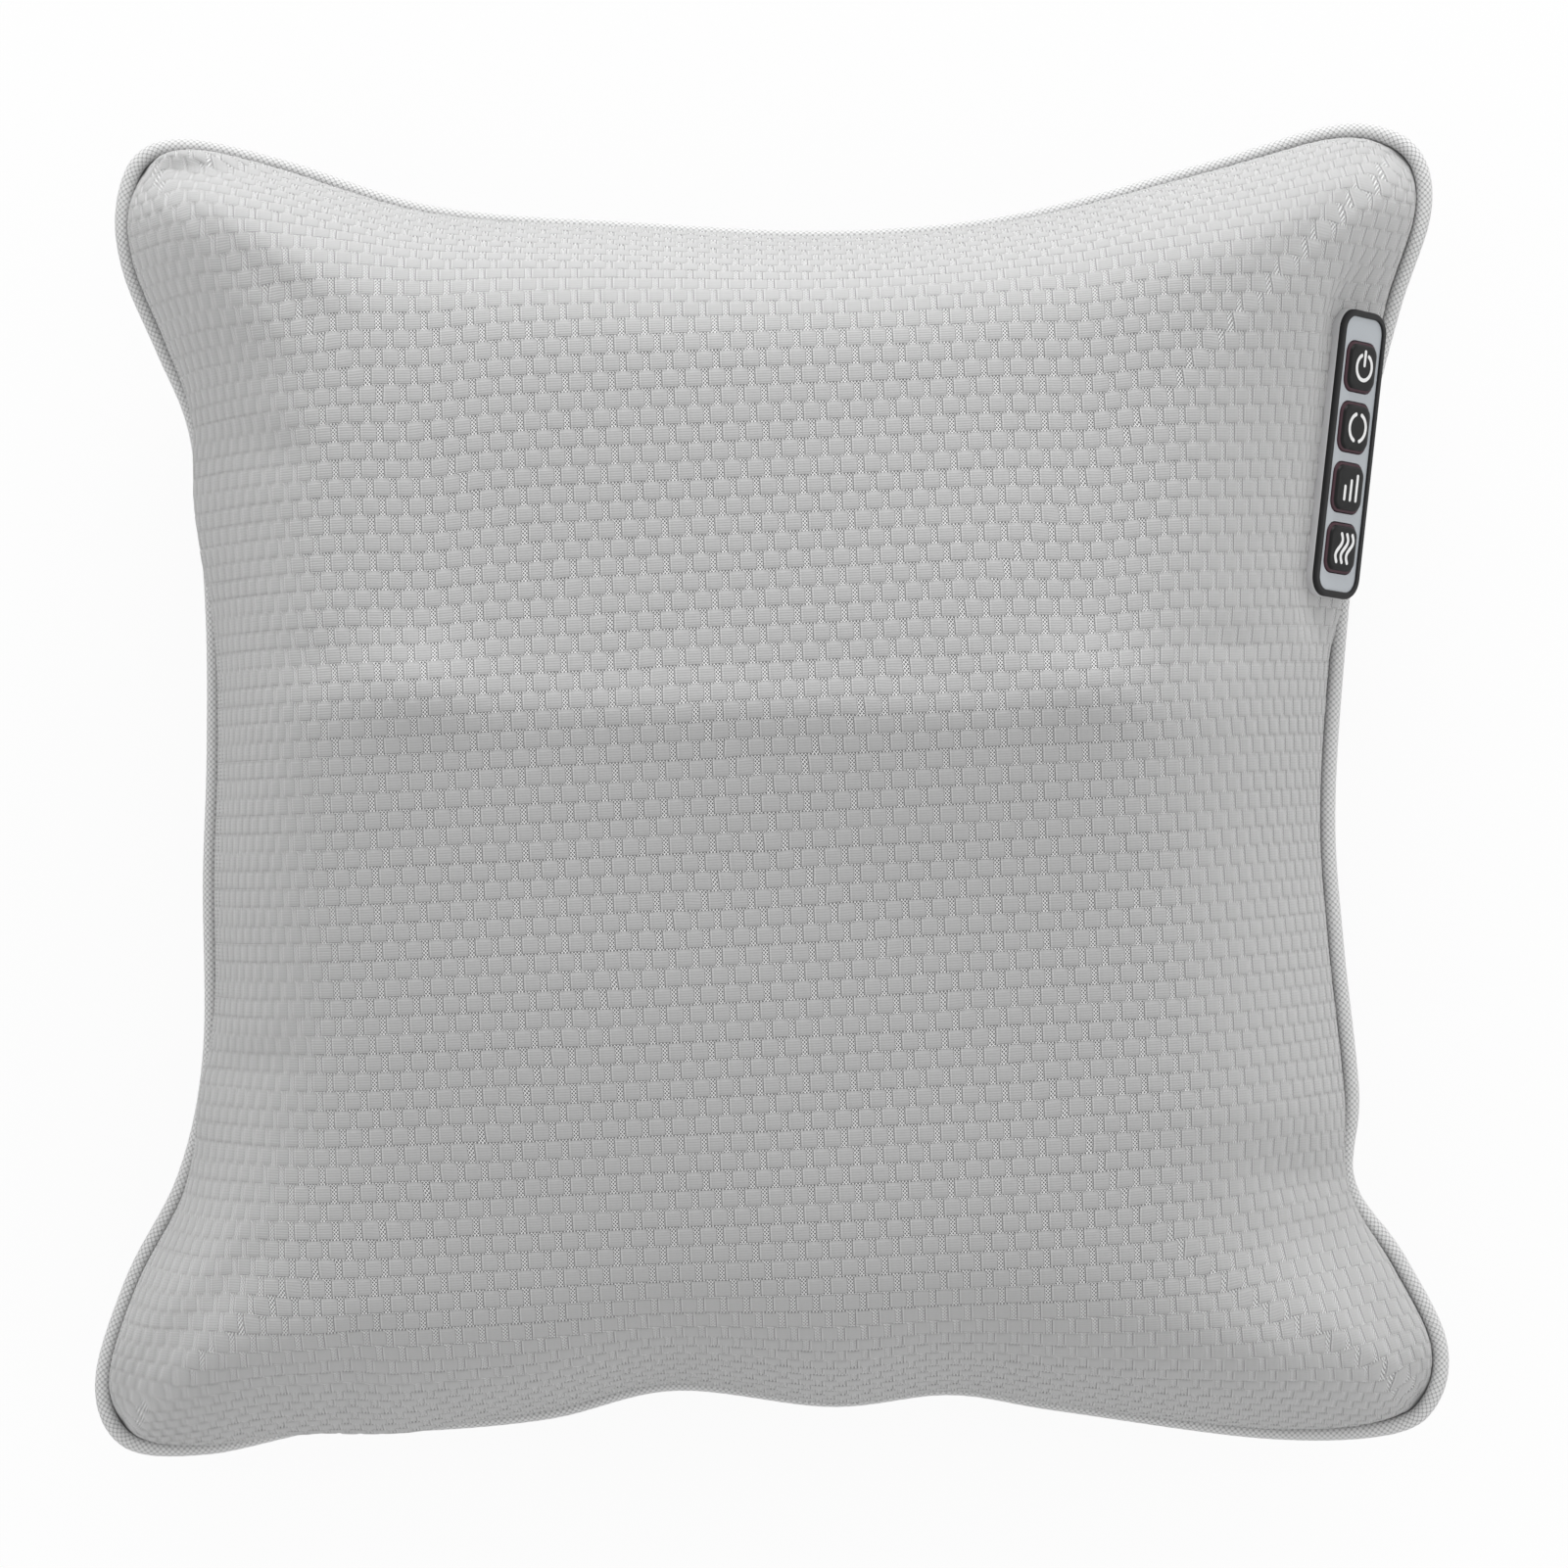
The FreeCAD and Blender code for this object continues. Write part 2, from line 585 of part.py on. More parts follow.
def seam_piping():
    """Fabric-covered cord sewn into the seam all the way round, drawn with eight flats."""
    radius = size("piping_radius")
    path = front_ring(0.0, -(radius + size("running_gap") / 2), 0.0)
    count = len(path)
    rings = []
    for i, here in enumerate(path):
        before = (here - path[i - 1]).normalize()
        after = (path[(i + 1) % count] - here).normalize()
        outward = (before + after).cross(Vector(0, 0, 1)).normalize()
        stretch = 1 / math.cos(before.getAngle(after) / 2)
        ring = []
        for side in range(8):
            angle = math.radians(22.5 + 45 * side)
            out = outward * (radius * stretch * math.cos(angle))
            ring.append(here + out + Vector(0, 0, radius * math.sin(angle)))
        rings.append(ring)
    return node(feature("SeamPiping", solid_of(side_faces(rings + rings[:1]))), "seam_piping")


def foam_surround():
    """Foam ring that fills the cushion around the drive, higher than the rotors."""
    inset = size("foam_inset")
    floor = size("back_foam_z + back_foam_thickness + running_gap")
    low_share = (floor - inset) / (size("seam_z") - inset)
    upper = [front_ring(level, inset, inset, 2) for level in FRONT_FOAM_LEVELS]
    lower = [back_ring(share, inset, inset, 2) for share in (*BACK_FOAM_SHARES, low_share)]
    faces = side_faces(upper) + side_faces(lower) + [flat_face(upper[-1]), flat_face(lower[-1])]
    whole = feature("FoamWhole", solid_of(faces))
    well = box("FoamWell", "housing_width + 2 * running_gap", "housing_depth + 2 * running_gap",
               "2 * front_rise", ("0", "crest_y"), "0")
    sweeps = [cylinder(f"HeadSweep{name}", "head_orbit + head_radius + running_gap", "2 * front_rise",
                       (signed(sign, "rotor_x"), "crest_y", f"{LID_Z} + lid_thickness"))
              for name, sign in SIDES]
    pad_room = box("FoamPadBlock", "pad_width + 2 * foam_clearance", "pad_length + 2 * foam_clearance",
                   "cut_through", ("0", "0"), "0 - pad_skirt - pad_room_depth")
    pad_room = on_pad(group("FoamPadRoom", pad_room))
    inlet_room = cylinder("FoamInletRoom", "jack_nut_radius + foam_clearance", "cut_through",
                          ("housing_width / 2", "jack_y", "jack_z"), "x")
    lead_room = box("FoamLeadRoom", "lead_room_length", "lead_width + foam_clearance", "lead_room_height",
                    ("housing_width / 2 + 0.4 * lead_room_length", PAD_LEAD_Y),
                    "lead_exit_z - lead_room_drop")
    return node(cut("FoamSurround", whole, well, *sweeps, pad_room, inlet_room, lead_room), "foam_surround")


def back_foam():
    """Thin foam sheet between the drive and the back fabric."""
    sheet_of_foam = box("BackFoam", "back_foam_width", "back_foam_depth", "back_foam_thickness",
                        ("0", "0"), "back_foam_z")
    return node(sheet_of_foam, "back_foam_sheet")


# ---------------------------------------------------------------- zip

def zip_parts():
    """Coil zip across the back: two tapes sewn inside the opening, two coils, a slider and its pull."""
    tape_y = "coil_gap / 2 + coil_width + tape_width / 2"
    coil_y = "coil_gap / 2 + coil_width / 2"
    tapes, coils = [], []
    for name, sign in (("Upper", "+"), ("Lower", "-")):
        tapes.append(box(f"Tape{name}", "zip_length + 2 * tape_end", "tape_width", "tape_thickness",
                         ("0", f"zip_y {sign} ({tape_y})"), "cover_wall"))
        coils.append(box(f"Coil{name}", "zip_length - 2 * coil_end", "coil_width", "coil_height",
                         ("0", f"zip_y {sign} ({coil_y})"), "coil_z"))
    node(group("ZipTapes", *tapes), "zip_tapes")
    node(group("ZipCoils", *coils), "zip_coils")
    slider_x = "((zip_length - slider_length) / 2 - slider_rest)"
    low = "coil_z - running_gap - slider_plate"
    high = "coil_z + coil_height + running_gap"
    spot = (slider_x, "zip_y")
    lower = box("SliderFront", "slider_length", "slider_width", "slider_plate", spot, low)
    upper = box("SliderRear", "slider_length", "slider_width", "slider_plate", spot, high)
    wedge = box("SliderWedge", "wedge_length", "slider_post", f"({high}) - ({low})",
                (f"{slider_x} + (slider_length - wedge_length) / 2", "zip_y"), low)
    node(fuse("ZipSlider", lower, upper, wedge), "zip_slider")
    pin_x = f"{slider_x} + pull_pin_x"
    pull_low = f"{low} - pull_gap - pull_thickness"
    tab = box("PullTab", "pull_length", "pull_width", "pull_thickness",
              (f"{pin_x} - pull_length / 2", "zip_y"), pull_low)
    eye = cylinder("PullEye", "pull_thickness / 2", "pull_width",
                   (pin_x, "zip_y - pull_width / 2", f"{pull_low} + pull_thickness / 2"), "y")
    node(fuse("ZipPull", tab, eye), "zip_pull")


# ---------------------------------------------------------------- drive housing

FLOOR_Z = "(back_foam_z + back_foam_thickness + running_gap)"
LID_Z = f"({FLOOR_Z} + housing_height)"
FLOOR_TOP = f"({FLOOR_Z} + housing_wall)"
CENTRE_STEP = "(gear_module * (pinion_teeth + output_teeth) / 2)"
WHEEL_X = "(worm_pitch_radius + gear_module * wheel_teeth / 2)"
WHEEL_Y = f"(crest_y - sqrt({CENTRE_STEP} * {CENTRE_STEP} - (rotor_x - {WHEEL_X}) * (rotor_x - {WHEEL_X})))"
WHEEL_LOW = "(worm_z - wheel_thickness / 2)"
OUTPUT_LOW = f"({WHEEL_LOW} + wheel_thickness + output_gear_gap)"
WORM_START = f"({WHEEL_Y} - worm_length / 2)"
MOTOR_Y = f"({WHEEL_Y} + worm_length / 2 + motor_gap)"
END_BUSH_Y = f"({WORM_START} - end_bush_gap - end_bush_length)"
POST_X = "(housing_width / 2 - post_inset)"
POST_Y = "(housing_depth / 2 - post_inset)"
PIN_LOW = f"({FLOOR_TOP} + pin_cover)"
BOARD_X = "(housing_width / 2 - board_inset_x)"
BOARD_Y = "(crest_y + housing_depth / 2 - board_inset_y)"
PAD_LEAD_Y = f"({BOARD_Y} + pad_lead_shift)"
LAMP_Y = "(crest_y + housing_depth / 2 - lamp_inset)"
LAMP_LEAD_X = "(lamp_width / 2 - lamp_lead_inset)"
JACK_FACE = "(housing_width / 2 + jack_reach)"
SIDES = (("Left", "-"), ("Right", "+"))


def signed(sign, text):
    return text if sign == "+" else f"0 - ({text})"


def at_posts():
    return [(signed(sx, POST_X), f"crest_y {sy} {POST_Y}") for sx in "-+" for sy in "-+"]


def base_housing():
    """Moulded tray under the drive, with bosses for pins and bushes, screw posts and a motor cradle."""
    tray = rounded_block("BaseTray", "housing_width", "housing_depth", "housing_corner", "housing_height",
                         FLOOR_Z, ("0", "crest_y"))
    inside = rounded_block("TrayInside", "housing_width - 2 * housing_wall",
                           "housing_depth - 2 * housing_wall", "housing_corner - housing_wall",
                           "housing_height", FLOOR_TOP, ("0", "crest_y"))
    tray = cut("TrayShell", tray, inside)
    adds = [tray]
    holes = []
    for number, (x, y) in enumerate(at_posts(), start=1):
        adds.append(box(f"Post{number}", "post_width", "post_width", "housing_height - housing_wall",
                        (x, y), FLOOR_TOP))
        holes.append(prism(f"PostHole{number}", 8, "screw_radius", "screw_length",
                           (x, y, f"{LID_Z} + lid_thickness - screw_length")))
    for name, sign in SIDES:
        shaft = (signed(sign, "rotor_x"), "crest_y", FLOOR_TOP)
        pin = (signed(sign, WHEEL_X), WHEEL_Y, FLOOR_TOP)
        adds.append(cylinder(f"ShaftBoss{name}", "shaft_radius + fit_gap + boss_wall", "boss_height", shaft))
        holes.append(cylinder(f"ShaftBossBore{name}", "shaft_radius + fit_gap", "boss_height",
                              (*shaft[:2], PIN_LOW)))
        adds.append(cylinder(f"PinBoss{name}", "pin_radius + boss_wall",
                             f"{WHEEL_LOW} - running_gap - {FLOOR_TOP}", pin))
        holes.append(cylinder(f"PinBore{name}", "pin_radius", "cut_through", (*pin[:2], PIN_LOW)))
    saddle_high = f"worm_z - {FLOOR_TOP}"
    adds.append(box("MotorCradle", "2 * (motor_radius + cradle_wall)", "motor_strap_width", saddle_high,
                    ("0", f"{MOTOR_Y} + motor_length / 2"), FLOOR_TOP))
    holes.append(cylinder("MotorBed", "motor_radius", "motor_length + 2 * motor_gap",
                          ("0", f"{MOTOR_Y} - motor_gap", "worm_z"), "y"))
    adds.append(box("EndBushBlock", "2 * (end_bush_radius + cradle_wall)", "end_bush_length",
                    f"{saddle_high} + end_bush_radius + boss_wall",
                    ("0", f"{END_BUSH_Y} + end_bush_length / 2"), FLOOR_TOP))
    holes.append(box("EndBushSeat", "2 * end_bush_radius", "2 * end_bush_length", "cut_through",
                     ("0", f"{END_BUSH_Y} + end_bush_length / 2"), "worm_z - end_bush_radius"))
    for name, sign in SIDES:
        adds.append(box(f"BoardRail{name}", "housing_wall", "drive_board_depth", "board_post_height",
                        (f"{BOARD_X} {sign} (drive_board_width / 2 - rail_inset)", BOARD_Y), FLOOR_TOP))
    for name, slot_y, slot_z in (("Pad", PAD_LEAD_Y, "lead_exit_z"), ("Inlet", "jack_y", "jack_z")):
        holes.append(box(f"{name}LeadSlot", "2 * housing_wall", "lead_width + 2 * slot_room", "slot_height",
                         ("(housing_width - housing_wall) / 2", slot_y), f"{slot_z} - slot_height / 2"))
    return node(cut("BaseHousing", fuse("BaseSolid", *adds), *holes), "base_housing")


def lid():
    """Flat lid that carries the upper bushes, the idler pins' tops and the warming lamp."""
    plate = rounded_block("LidPlate", "housing_width", "housing_depth", "housing_corner", "lid_thickness",
                          LID_Z, ("0", "crest_y"))
    adds = [plate]
    holes = []
    for number, (x, y) in enumerate(at_posts(), start=1):
        holes.append(prism(f"LidHole{number}", 8, "screw_radius", "3 * lid_thickness",
                           (x, y, f"{LID_Z} - lid_thickness")))
    for name, sign in SIDES:
        shaft = (signed(sign, "rotor_x"), "crest_y", f"{LID_Z} - bush_wall")
        adds.append(cylinder(f"LidBoss{name}", "shaft_radius + fit_gap + bush_wall + boss_wall",
                             "lid_thickness + bush_wall", shaft))
        holes.append(cylinder(f"LidBore{name}", "shaft_radius + fit_gap + bush_wall", "cut_through",
                              (*shaft[:2], f"{LID_Z} - cut_through / 2")))
        holes.append(cylinder(f"LidPinHole{name}", "pin_radius", "lid_thickness - pin_cover",
                              (signed(sign, WHEEL_X), WHEEL_Y, LID_Z)))
    holes.append(box("LampLeadSlot", "lead_thickness + 2 * slot_room", "lead_width + 2 * slot_room",
                     "3 * lid_thickness", (LAMP_LEAD_X, LAMP_Y), f"{LID_Z} - lid_thickness"))
    return node(cut("DriveLid", fuse("LidSolid", *adds), *holes), "drive_lid")


def case_screws():
    screws = []
    for number, (x, y) in enumerate(at_posts(), start=1):
        shank = prism(f"CaseShank{number}", 8, "screw_radius", "screw_length",
                      (x, y, f"{LID_Z} + lid_thickness - screw_length"))
        head = prism(f"CaseHead{number}", 6, "screw_head_radius", "screw_head_height",
                     (x, y, f"{LID_Z} + lid_thickness"))
        screws.append(fuse(f"CaseScrew{number}", shank, head))
    node(group("CaseScrews", *screws), "case_screws")


# ---------------------------------------------------------------- gears

ADDENDUM = 0.85
DEDENDUM = 1.15
FLANK_SLOPE = math.tan(math.radians(20))
THREAD_SINK = 0.3


def tooth_loop(teeth, tooth_at, height=0.0, twist=0.0):
    """Closed polygon of a straight-flanked gear, one tooth centred on the direction tooth_at (degrees)."""
    module = size("gear_module")
    pitch_radius = module * teeth / 2
    half_pitch = (math.pi * module / 2 - size("gear_backlash")) / 2
    root_half = half_pitch + DEDENDUM * module * FLANK_SLOPE
    tip_half = half_pitch - ADDENDUM * module * FLANK_SLOPE
    flank = ((-DEDENDUM, -root_half), (ADDENDUM, -tip_half), (ADDENDUM, tip_half), (-DEDENDUM, root_half))
    points = []
    for tooth in range(teeth):
        centre = math.radians(tooth_at + twist) + 2 * math.pi * tooth / teeth
        for depth, half in flank:
            radius = pitch_radius + depth * module
            angle = centre + half / pitch_radius
            points.append(Vector(radius * math.cos(angle), radius * math.sin(angle), height))
    return Part.makePolygon(points + points[:1])


def spur_gear(teeth, tooth_at, low, thickness):
    face = Part.Face(tooth_loop(teeth, tooth_at, low))
    return face.extrude(Vector(0, 0, thickness))


def helical_gear(teeth, tooth_at, low, thickness, twist_per_mm):
    """Wheel whose teeth follow the worm's lead; tooth_at holds at mid thickness."""
    turn = twist_per_mm * thickness / 2
    ends = [tooth_loop(teeth, tooth_at, low, -turn), tooth_loop(teeth, tooth_at, low + thickness, turn)]
    return Part.makeLoft(ends, True, True)


def bored(shape, radius, low, height, margin=1.0):
    return shape.cut(Part.makeCylinder(radius, height + 2 * margin, Vector(0, 0, low - margin)))


def gear_part(name, label, shape, x, y):
    piece = doc.addObject("Part::Feature", name)
    piece.Shape = shape
    piece.Placement = Placement(Vector(x, y, 0), Rotation())
    return node(piece, label)


def gear_train():
    """Two worm wheels, each moulded with a pinion, and the two output gears they drive."""
    module = size("gear_module")
    wheel_teeth = int(size("wheel_teeth"))
    pinion_teeth = int(size("pinion_teeth"))
    output_teeth = int(size("output_teeth"))
    wheel_x, wheel_y, wheel_low = size(WHEEL_X), size(WHEEL_Y), size(WHEEL_LOW)
    output_low = size(OUTPUT_LOW)
    lead_slope = module / 2 / size("worm_pitch_radius")
    twist = math.degrees(lead_slope / (module * wheel_teeth / 2))
    run_bore = size("pin_radius + fit_gap")
    for name, sign in (("left", -1), ("right", 1)):
        toward = math.degrees(math.atan2(size("crest_y") - wheel_y, sign * (size("rotor_x") - wheel_x)))
        wheel_tooth = 180 + 180 / wheel_teeth if sign > 0 else 0
        wheel = helical_gear(wheel_teeth, wheel_tooth, wheel_low, size("wheel_thickness"), twist)
        pinion = spur_gear(pinion_teeth, toward, wheel_low + size("wheel_thickness"), size("pinion_height"))
        compound = bored(wheel.fuse(pinion), run_bore, wheel_low, size("wheel_thickness + pinion_height"))
        gear_part(f"{name.title()}WormWheel", f"{name}_worm_wheel", compound, sign * wheel_x, wheel_y)
        output_tooth = toward + 180 + 180 / output_teeth
        output = spur_gear(output_teeth, output_tooth, output_low, size("output_thickness"))
        output = bored(output, size("shaft_radius"), output_low, size("output_thickness"))
        gear_part(f"{name.title()}OutputGear", f"{name}_output_gear", output,
                  sign * size("rotor_x"), size("crest_y"))


def worm():
    """Single-start worm bored for the motor shaft, its thread lofted from flank to flank."""
    module = size("gear_module")
    pitch_radius = size("worm_pitch_radius")
    lead = math.pi * module
    length = size("worm_length")
    root, tip = pitch_radius - DEDENDUM * module, pitch_radius + ADDENDUM * module
    half = (lead / 2 - size("gear_backlash")) / 2
    root_half = half + DEDENDUM * module * FLANK_SLOPE
    tip_half = half - ADDENDUM * module * FLANK_SLOPE
    steps = 12
    turns = (length - 2 * root_half) / lead - 0.02
    count = int(turns * steps)
    sections = []
    for number in range(count + 1):
        angle = (number - count // 2) * 2 * math.pi / steps
        middle = lead * angle / (2 * math.pi)
        out = Vector(math.cos(angle), 0, -math.sin(angle))
        corner = [(root - THREAD_SINK, -root_half), (tip, -tip_half), (tip, tip_half),
                  (root - THREAD_SINK, root_half)]
        sections.append([out * radius + Vector(0, middle + along, 0) for radius, along in corner])
    thread = stack(sections)
    sides = [2 * math.pi * k / steps for k in range(steps)]
    core_rings = [[Vector(root * math.cos(a), end * length / 2, -root * math.sin(a)) for a in sides]
                  for end in (-1, 1)]
    bore = Part.makeCylinder(size("worm_shaft_radius"), 2 * length, Vector(0, -length, 0), Vector(0, 1, 0))
    piece = feature("Worm", stack(core_rings).fuse(thread).cut(bore))
    piece.Placement = Placement(Vector(0, size(WHEEL_Y), size("worm_z")), Rotation())
    return node(piece, "worm")


def shafts_and_bushes():
    """Steel shafts and pins, and the bronze bushes that carry them."""
    bush_radius = "shaft_radius + fit_gap + bush_wall"
    bushes = []
    for name, sign in SIDES:
        x = signed(sign, "rotor_x")
        bush = cylinder(f"UpperBush{name}", bush_radius, "lid_thickness + bush_wall",
                        (x, "crest_y", f"{LID_Z} - bush_wall"))
        bore = cylinder(f"UpperBore{name}", "shaft_radius + fit_gap", "cut_through",
                        (x, "crest_y", f"{LID_Z} - cut_through / 2"))
        bushes.append(cut(f"UpperBush{name}Bored", bush, bore))
        foot = f"({PIN_LOW} + running_gap)"
        node(cylinder(f"{name}Shaft", "shaft_radius", f"rotor_z + rotor_thickness - {foot}",
                      (x, "crest_y", foot)), f"{name.lower()}_output_shaft")
    node(group("OutputBushes", *bushes), "output_bushes")
    pins = [cylinder(f"IdlerPin{name}", "pin_radius", f"{LID_Z} + lid_thickness - pin_cover - {PIN_LOW}",
                     (signed(sign, WHEEL_X), WHEEL_Y, PIN_LOW)) for name, sign in SIDES]
    node(group("IdlerPins", *pins), "idler_pins")
    block = box("EndBushBody", "2 * end_bush_radius", "end_bush_length", "2 * end_bush_radius",
                ("0", f"{END_BUSH_Y} + end_bush_length / 2"), "worm_z - end_bush_radius")
    hole = cylinder("EndBushHole", "worm_shaft_radius + fit_gap", "2 * end_bush_length",
                    ("0", f"{END_BUSH_Y} - end_bush_length / 2", "worm_z"), "y")
    node(cut("EndBush", block, hole), "worm_end_bush")


STRAP_SIDES = 16


def motor():
    """Brushed motor with its nose, end cap, shaft and holding strap."""
    can = cylinder("MotorCanBody", "motor_radius", "motor_length", ("0", MOTOR_Y, "worm_z"), "y")
    nose = cylinder("MotorNose", "motor_nose_radius", "motor_nose_length",
                    ("0", f"{MOTOR_Y} - motor_nose_length", "worm_z"), "y")
    bore = cylinder("MotorBore", "worm_shaft_radius + fit_gap", "motor_gap + shaft_in_motor + shaft_end_room",
                    ("0", f"{MOTOR_Y} - motor_gap", "worm_z"), "y")
    node(cut("MotorCan", fuse("MotorSolid", can, nose), bore), "motor_can")
    cap = prism("MotorCapBody", 16, "motor_radius - motor_cap_step", "motor_cap_length",
                ("0", f"{MOTOR_Y} + motor_length", "worm_z"), "y")
    node(cap, "motor_end_cap")
    shaft_low = f"({END_BUSH_Y} + shaft_end_room)"
    shaft = cylinder("MotorShaft", "worm_shaft_radius", f"{MOTOR_Y} + shaft_in_motor - {shaft_low}",
                     ("0", shaft_low, "worm_z"), "y")
    node(shaft, "motor_shaft")
    worm()
    middle = f"({MOTOR_Y} + motor_length / 2)"
    flat_radius = f"motor_radius / cos({180 / STRAP_SIDES})"
    outer = prism("StrapOuter", STRAP_SIDES, f"{flat_radius} + motor_strap_thickness", "motor_strap_width",
                  ("0", f"{middle} - motor_strap_width / 2", "worm_z"), "y")
    inner = prism("StrapInner", STRAP_SIDES, flat_radius, "2 * motor_strap_width",
                  ("0", f"{middle} - motor_strap_width", "worm_z"), "y")
    lower_half = box("StrapLowerHalf", "4 * motor_radius", "2 * motor_strap_width", "2 * motor_radius",
                     ("0", middle), "worm_z - 2 * motor_radius")
    node(cut("MotorStrap", outer, inner, lower_half), "motor_strap")


HEAD_SIDES = 24
HEAD_PROFILE = ((0.3, 0.96), (0.5, 1.0), (0.72, 0.86), (0.88, 0.62))


def massage_head(high):
    """Domed knob on a narrower foot, its round sides drawn with flats."""
    wide = size("head_radius")
    profile = [(0.0, size("head_foot_radius"))]
    profile += [(share, wide * spread) for share, spread in HEAD_PROFILE]
    profile += [(1.0, size("head_top_radius"))]
    angles = [2 * math.pi * side / HEAD_SIDES for side in range(HEAD_SIDES)]
    rings = [[Vector(radius * math.cos(a), radius * math.sin(a), high * share) for a in angles]
             for share, radius in profile]
    return stack(rings)


def rotor(name, sign):
    """Rotor arm with its two heads, screwed on the output shaft."""
    x = signed(sign, "rotor_x")
    title = name.title()
    outwards = 1 if sign == "+" else -1
    spot = (x, "crest_y", "rotor_z")
    hub = prism(f"{title}Hub", 16, "rotor_hub_radius", "rotor_thickness", spot)
    bar = box(f"{title}Bar", "2 * head_orbit", "rotor_bar_width", "rotor_thickness",
              (x, "crest_y"), "rotor_z")
    ends = [prism(f"{title}End{number}", 12, "head_foot_radius", "rotor_thickness",
                  (f"{x} {way} head_orbit", "crest_y", "rotor_z")) for number, way in enumerate("-+")]
    bore = cylinder(f"{title}HubBore", "shaft_radius", "3 * rotor_thickness",
                    (x, "crest_y", "rotor_z - rotor_thickness"))
    node(cut(f"{title}RotorArm", fuse(f"{title}ArmSolid", hub, bar, *ends), bore), f"{name}_rotor_arm")
    heads = []
    for number, way in enumerate((-1, 1)):
        high = size("outer_head_height" if way == outwards else "inner_head_height")
        centre = f"{x} {'+' if way > 0 else '-'} head_orbit"
        head = feature(f"{title}Head{number}", massage_head(high))
        heads.append(place(head, (centre, "crest_y", "rotor_z + rotor_thickness")))
    node(group(f"{title}Heads", *heads), f"{name}_massage_heads")
    node(prism(f"{title}RotorScrew", 6, "rotor_screw_radius", "rotor_screw_height",
               (x, "crest_y", "rotor_z + rotor_thickness")), f"{name}_rotor_screw")


# ---------------------------------------------------------------- electrics

def flat_lead(name, label, route, y):
    """Flat cable on edge-to-edge runs in an upright plane, lead_width wide, centred on y."""
    half = size("lead_thickness") / 2
    left, right = [], []
    count = len(route)
    for i, (px, pz) in enumerate(route):
        before = Vector(*route[i - 1], 0) if i else None
        after = Vector(*route[i + 1], 0) if i < count - 1 else None
        here = Vector(px, pz, 0)
        ways = [(here - before).normalize()] if before is not None else []
        ways += [(after - here).normalize()] if after is not None else []
        mean = sum(ways[1:], ways[0]).normalize()
        normal = Vector(-mean.y, mean.x, 0)
        stretch = half / max(math.cos(ways[0].getAngle(mean)), 0.3)
        left.append(here + normal * stretch)
        right.append(here - normal * stretch)
    width = size("lead_width")
    loop = [Vector(p.x, y - width / 2, p.y) for p in left + right[::-1]]
    piece = doc.addObject("Part::Feature", name)
    piece.Shape = Part.Face(Part.makePolygon(loop + loop[:1])).extrude(Vector(0, width, 0))
    return node(piece, label)


def electrics():
    """Motor driver board, warming lamp and the flat cables between them."""
    board_z = f"({FLOOR_TOP} + board_post_height)"
    board = box("DriverBoard", "drive_board_width", "drive_board_depth", "board_thickness",
                (BOARD_X, BOARD_Y), board_z)
    node(board, "driver_board")
    top = f"({board_z} + board_thickness)"
    chip = box("DriverChip", "chip_width", "chip_depth", "chip_height",
               (f"{BOARD_X} - drive_board_width / 8", f"{BOARD_Y} - drive_board_depth / 3"), top)
    tank = prism("DriverCapacitor", 10, "capacitor_radius", "capacitor_height", (BOARD_X, BOARD_Y, top))
    node(group("DriverComponents", chip, tank), "driver_components")
    lamp_z = f"({LID_Z} + lid_thickness)"
    plate = box("LampBoardPlate", "lamp_width", "lamp_depth", "board_thickness", ("0", LAMP_Y), lamp_z)
    slot = box("LampBoardSlot", "lead_thickness + 2 * slot_room", "lead_width + 2 * slot_room",
               "3 * board_thickness", (LAMP_LEAD_X, LAMP_Y), f"{lamp_z} - board_thickness")
    node(cut("LampBoard", plate, slot), "lamp_board")
    lamps = [prism(f"Lamp{number}", 8, "lamp_radius", "lamp_height",
                   (f"{number - 2} * lamp_pitch", LAMP_Y, f"{lamp_z} + board_thickness"))
             for number in (1, 2, 3)]
    node(group("HeatLamps", *lamps), "heat_lamps")
    shell = box("WindowShell", "lamp_width + 2 * (window_wall + window_gap)",
                "lamp_depth + 2 * (window_wall + window_gap)", "window_height", ("0", LAMP_Y), lamp_z)
    inside = box("WindowInside", "lamp_width + 2 * window_gap", "lamp_depth + 2 * window_gap",
                 "window_height - window_wall", ("0", LAMP_Y), lamp_z)
    node(cut("LampWindow", shell, inside), "lamp_window")


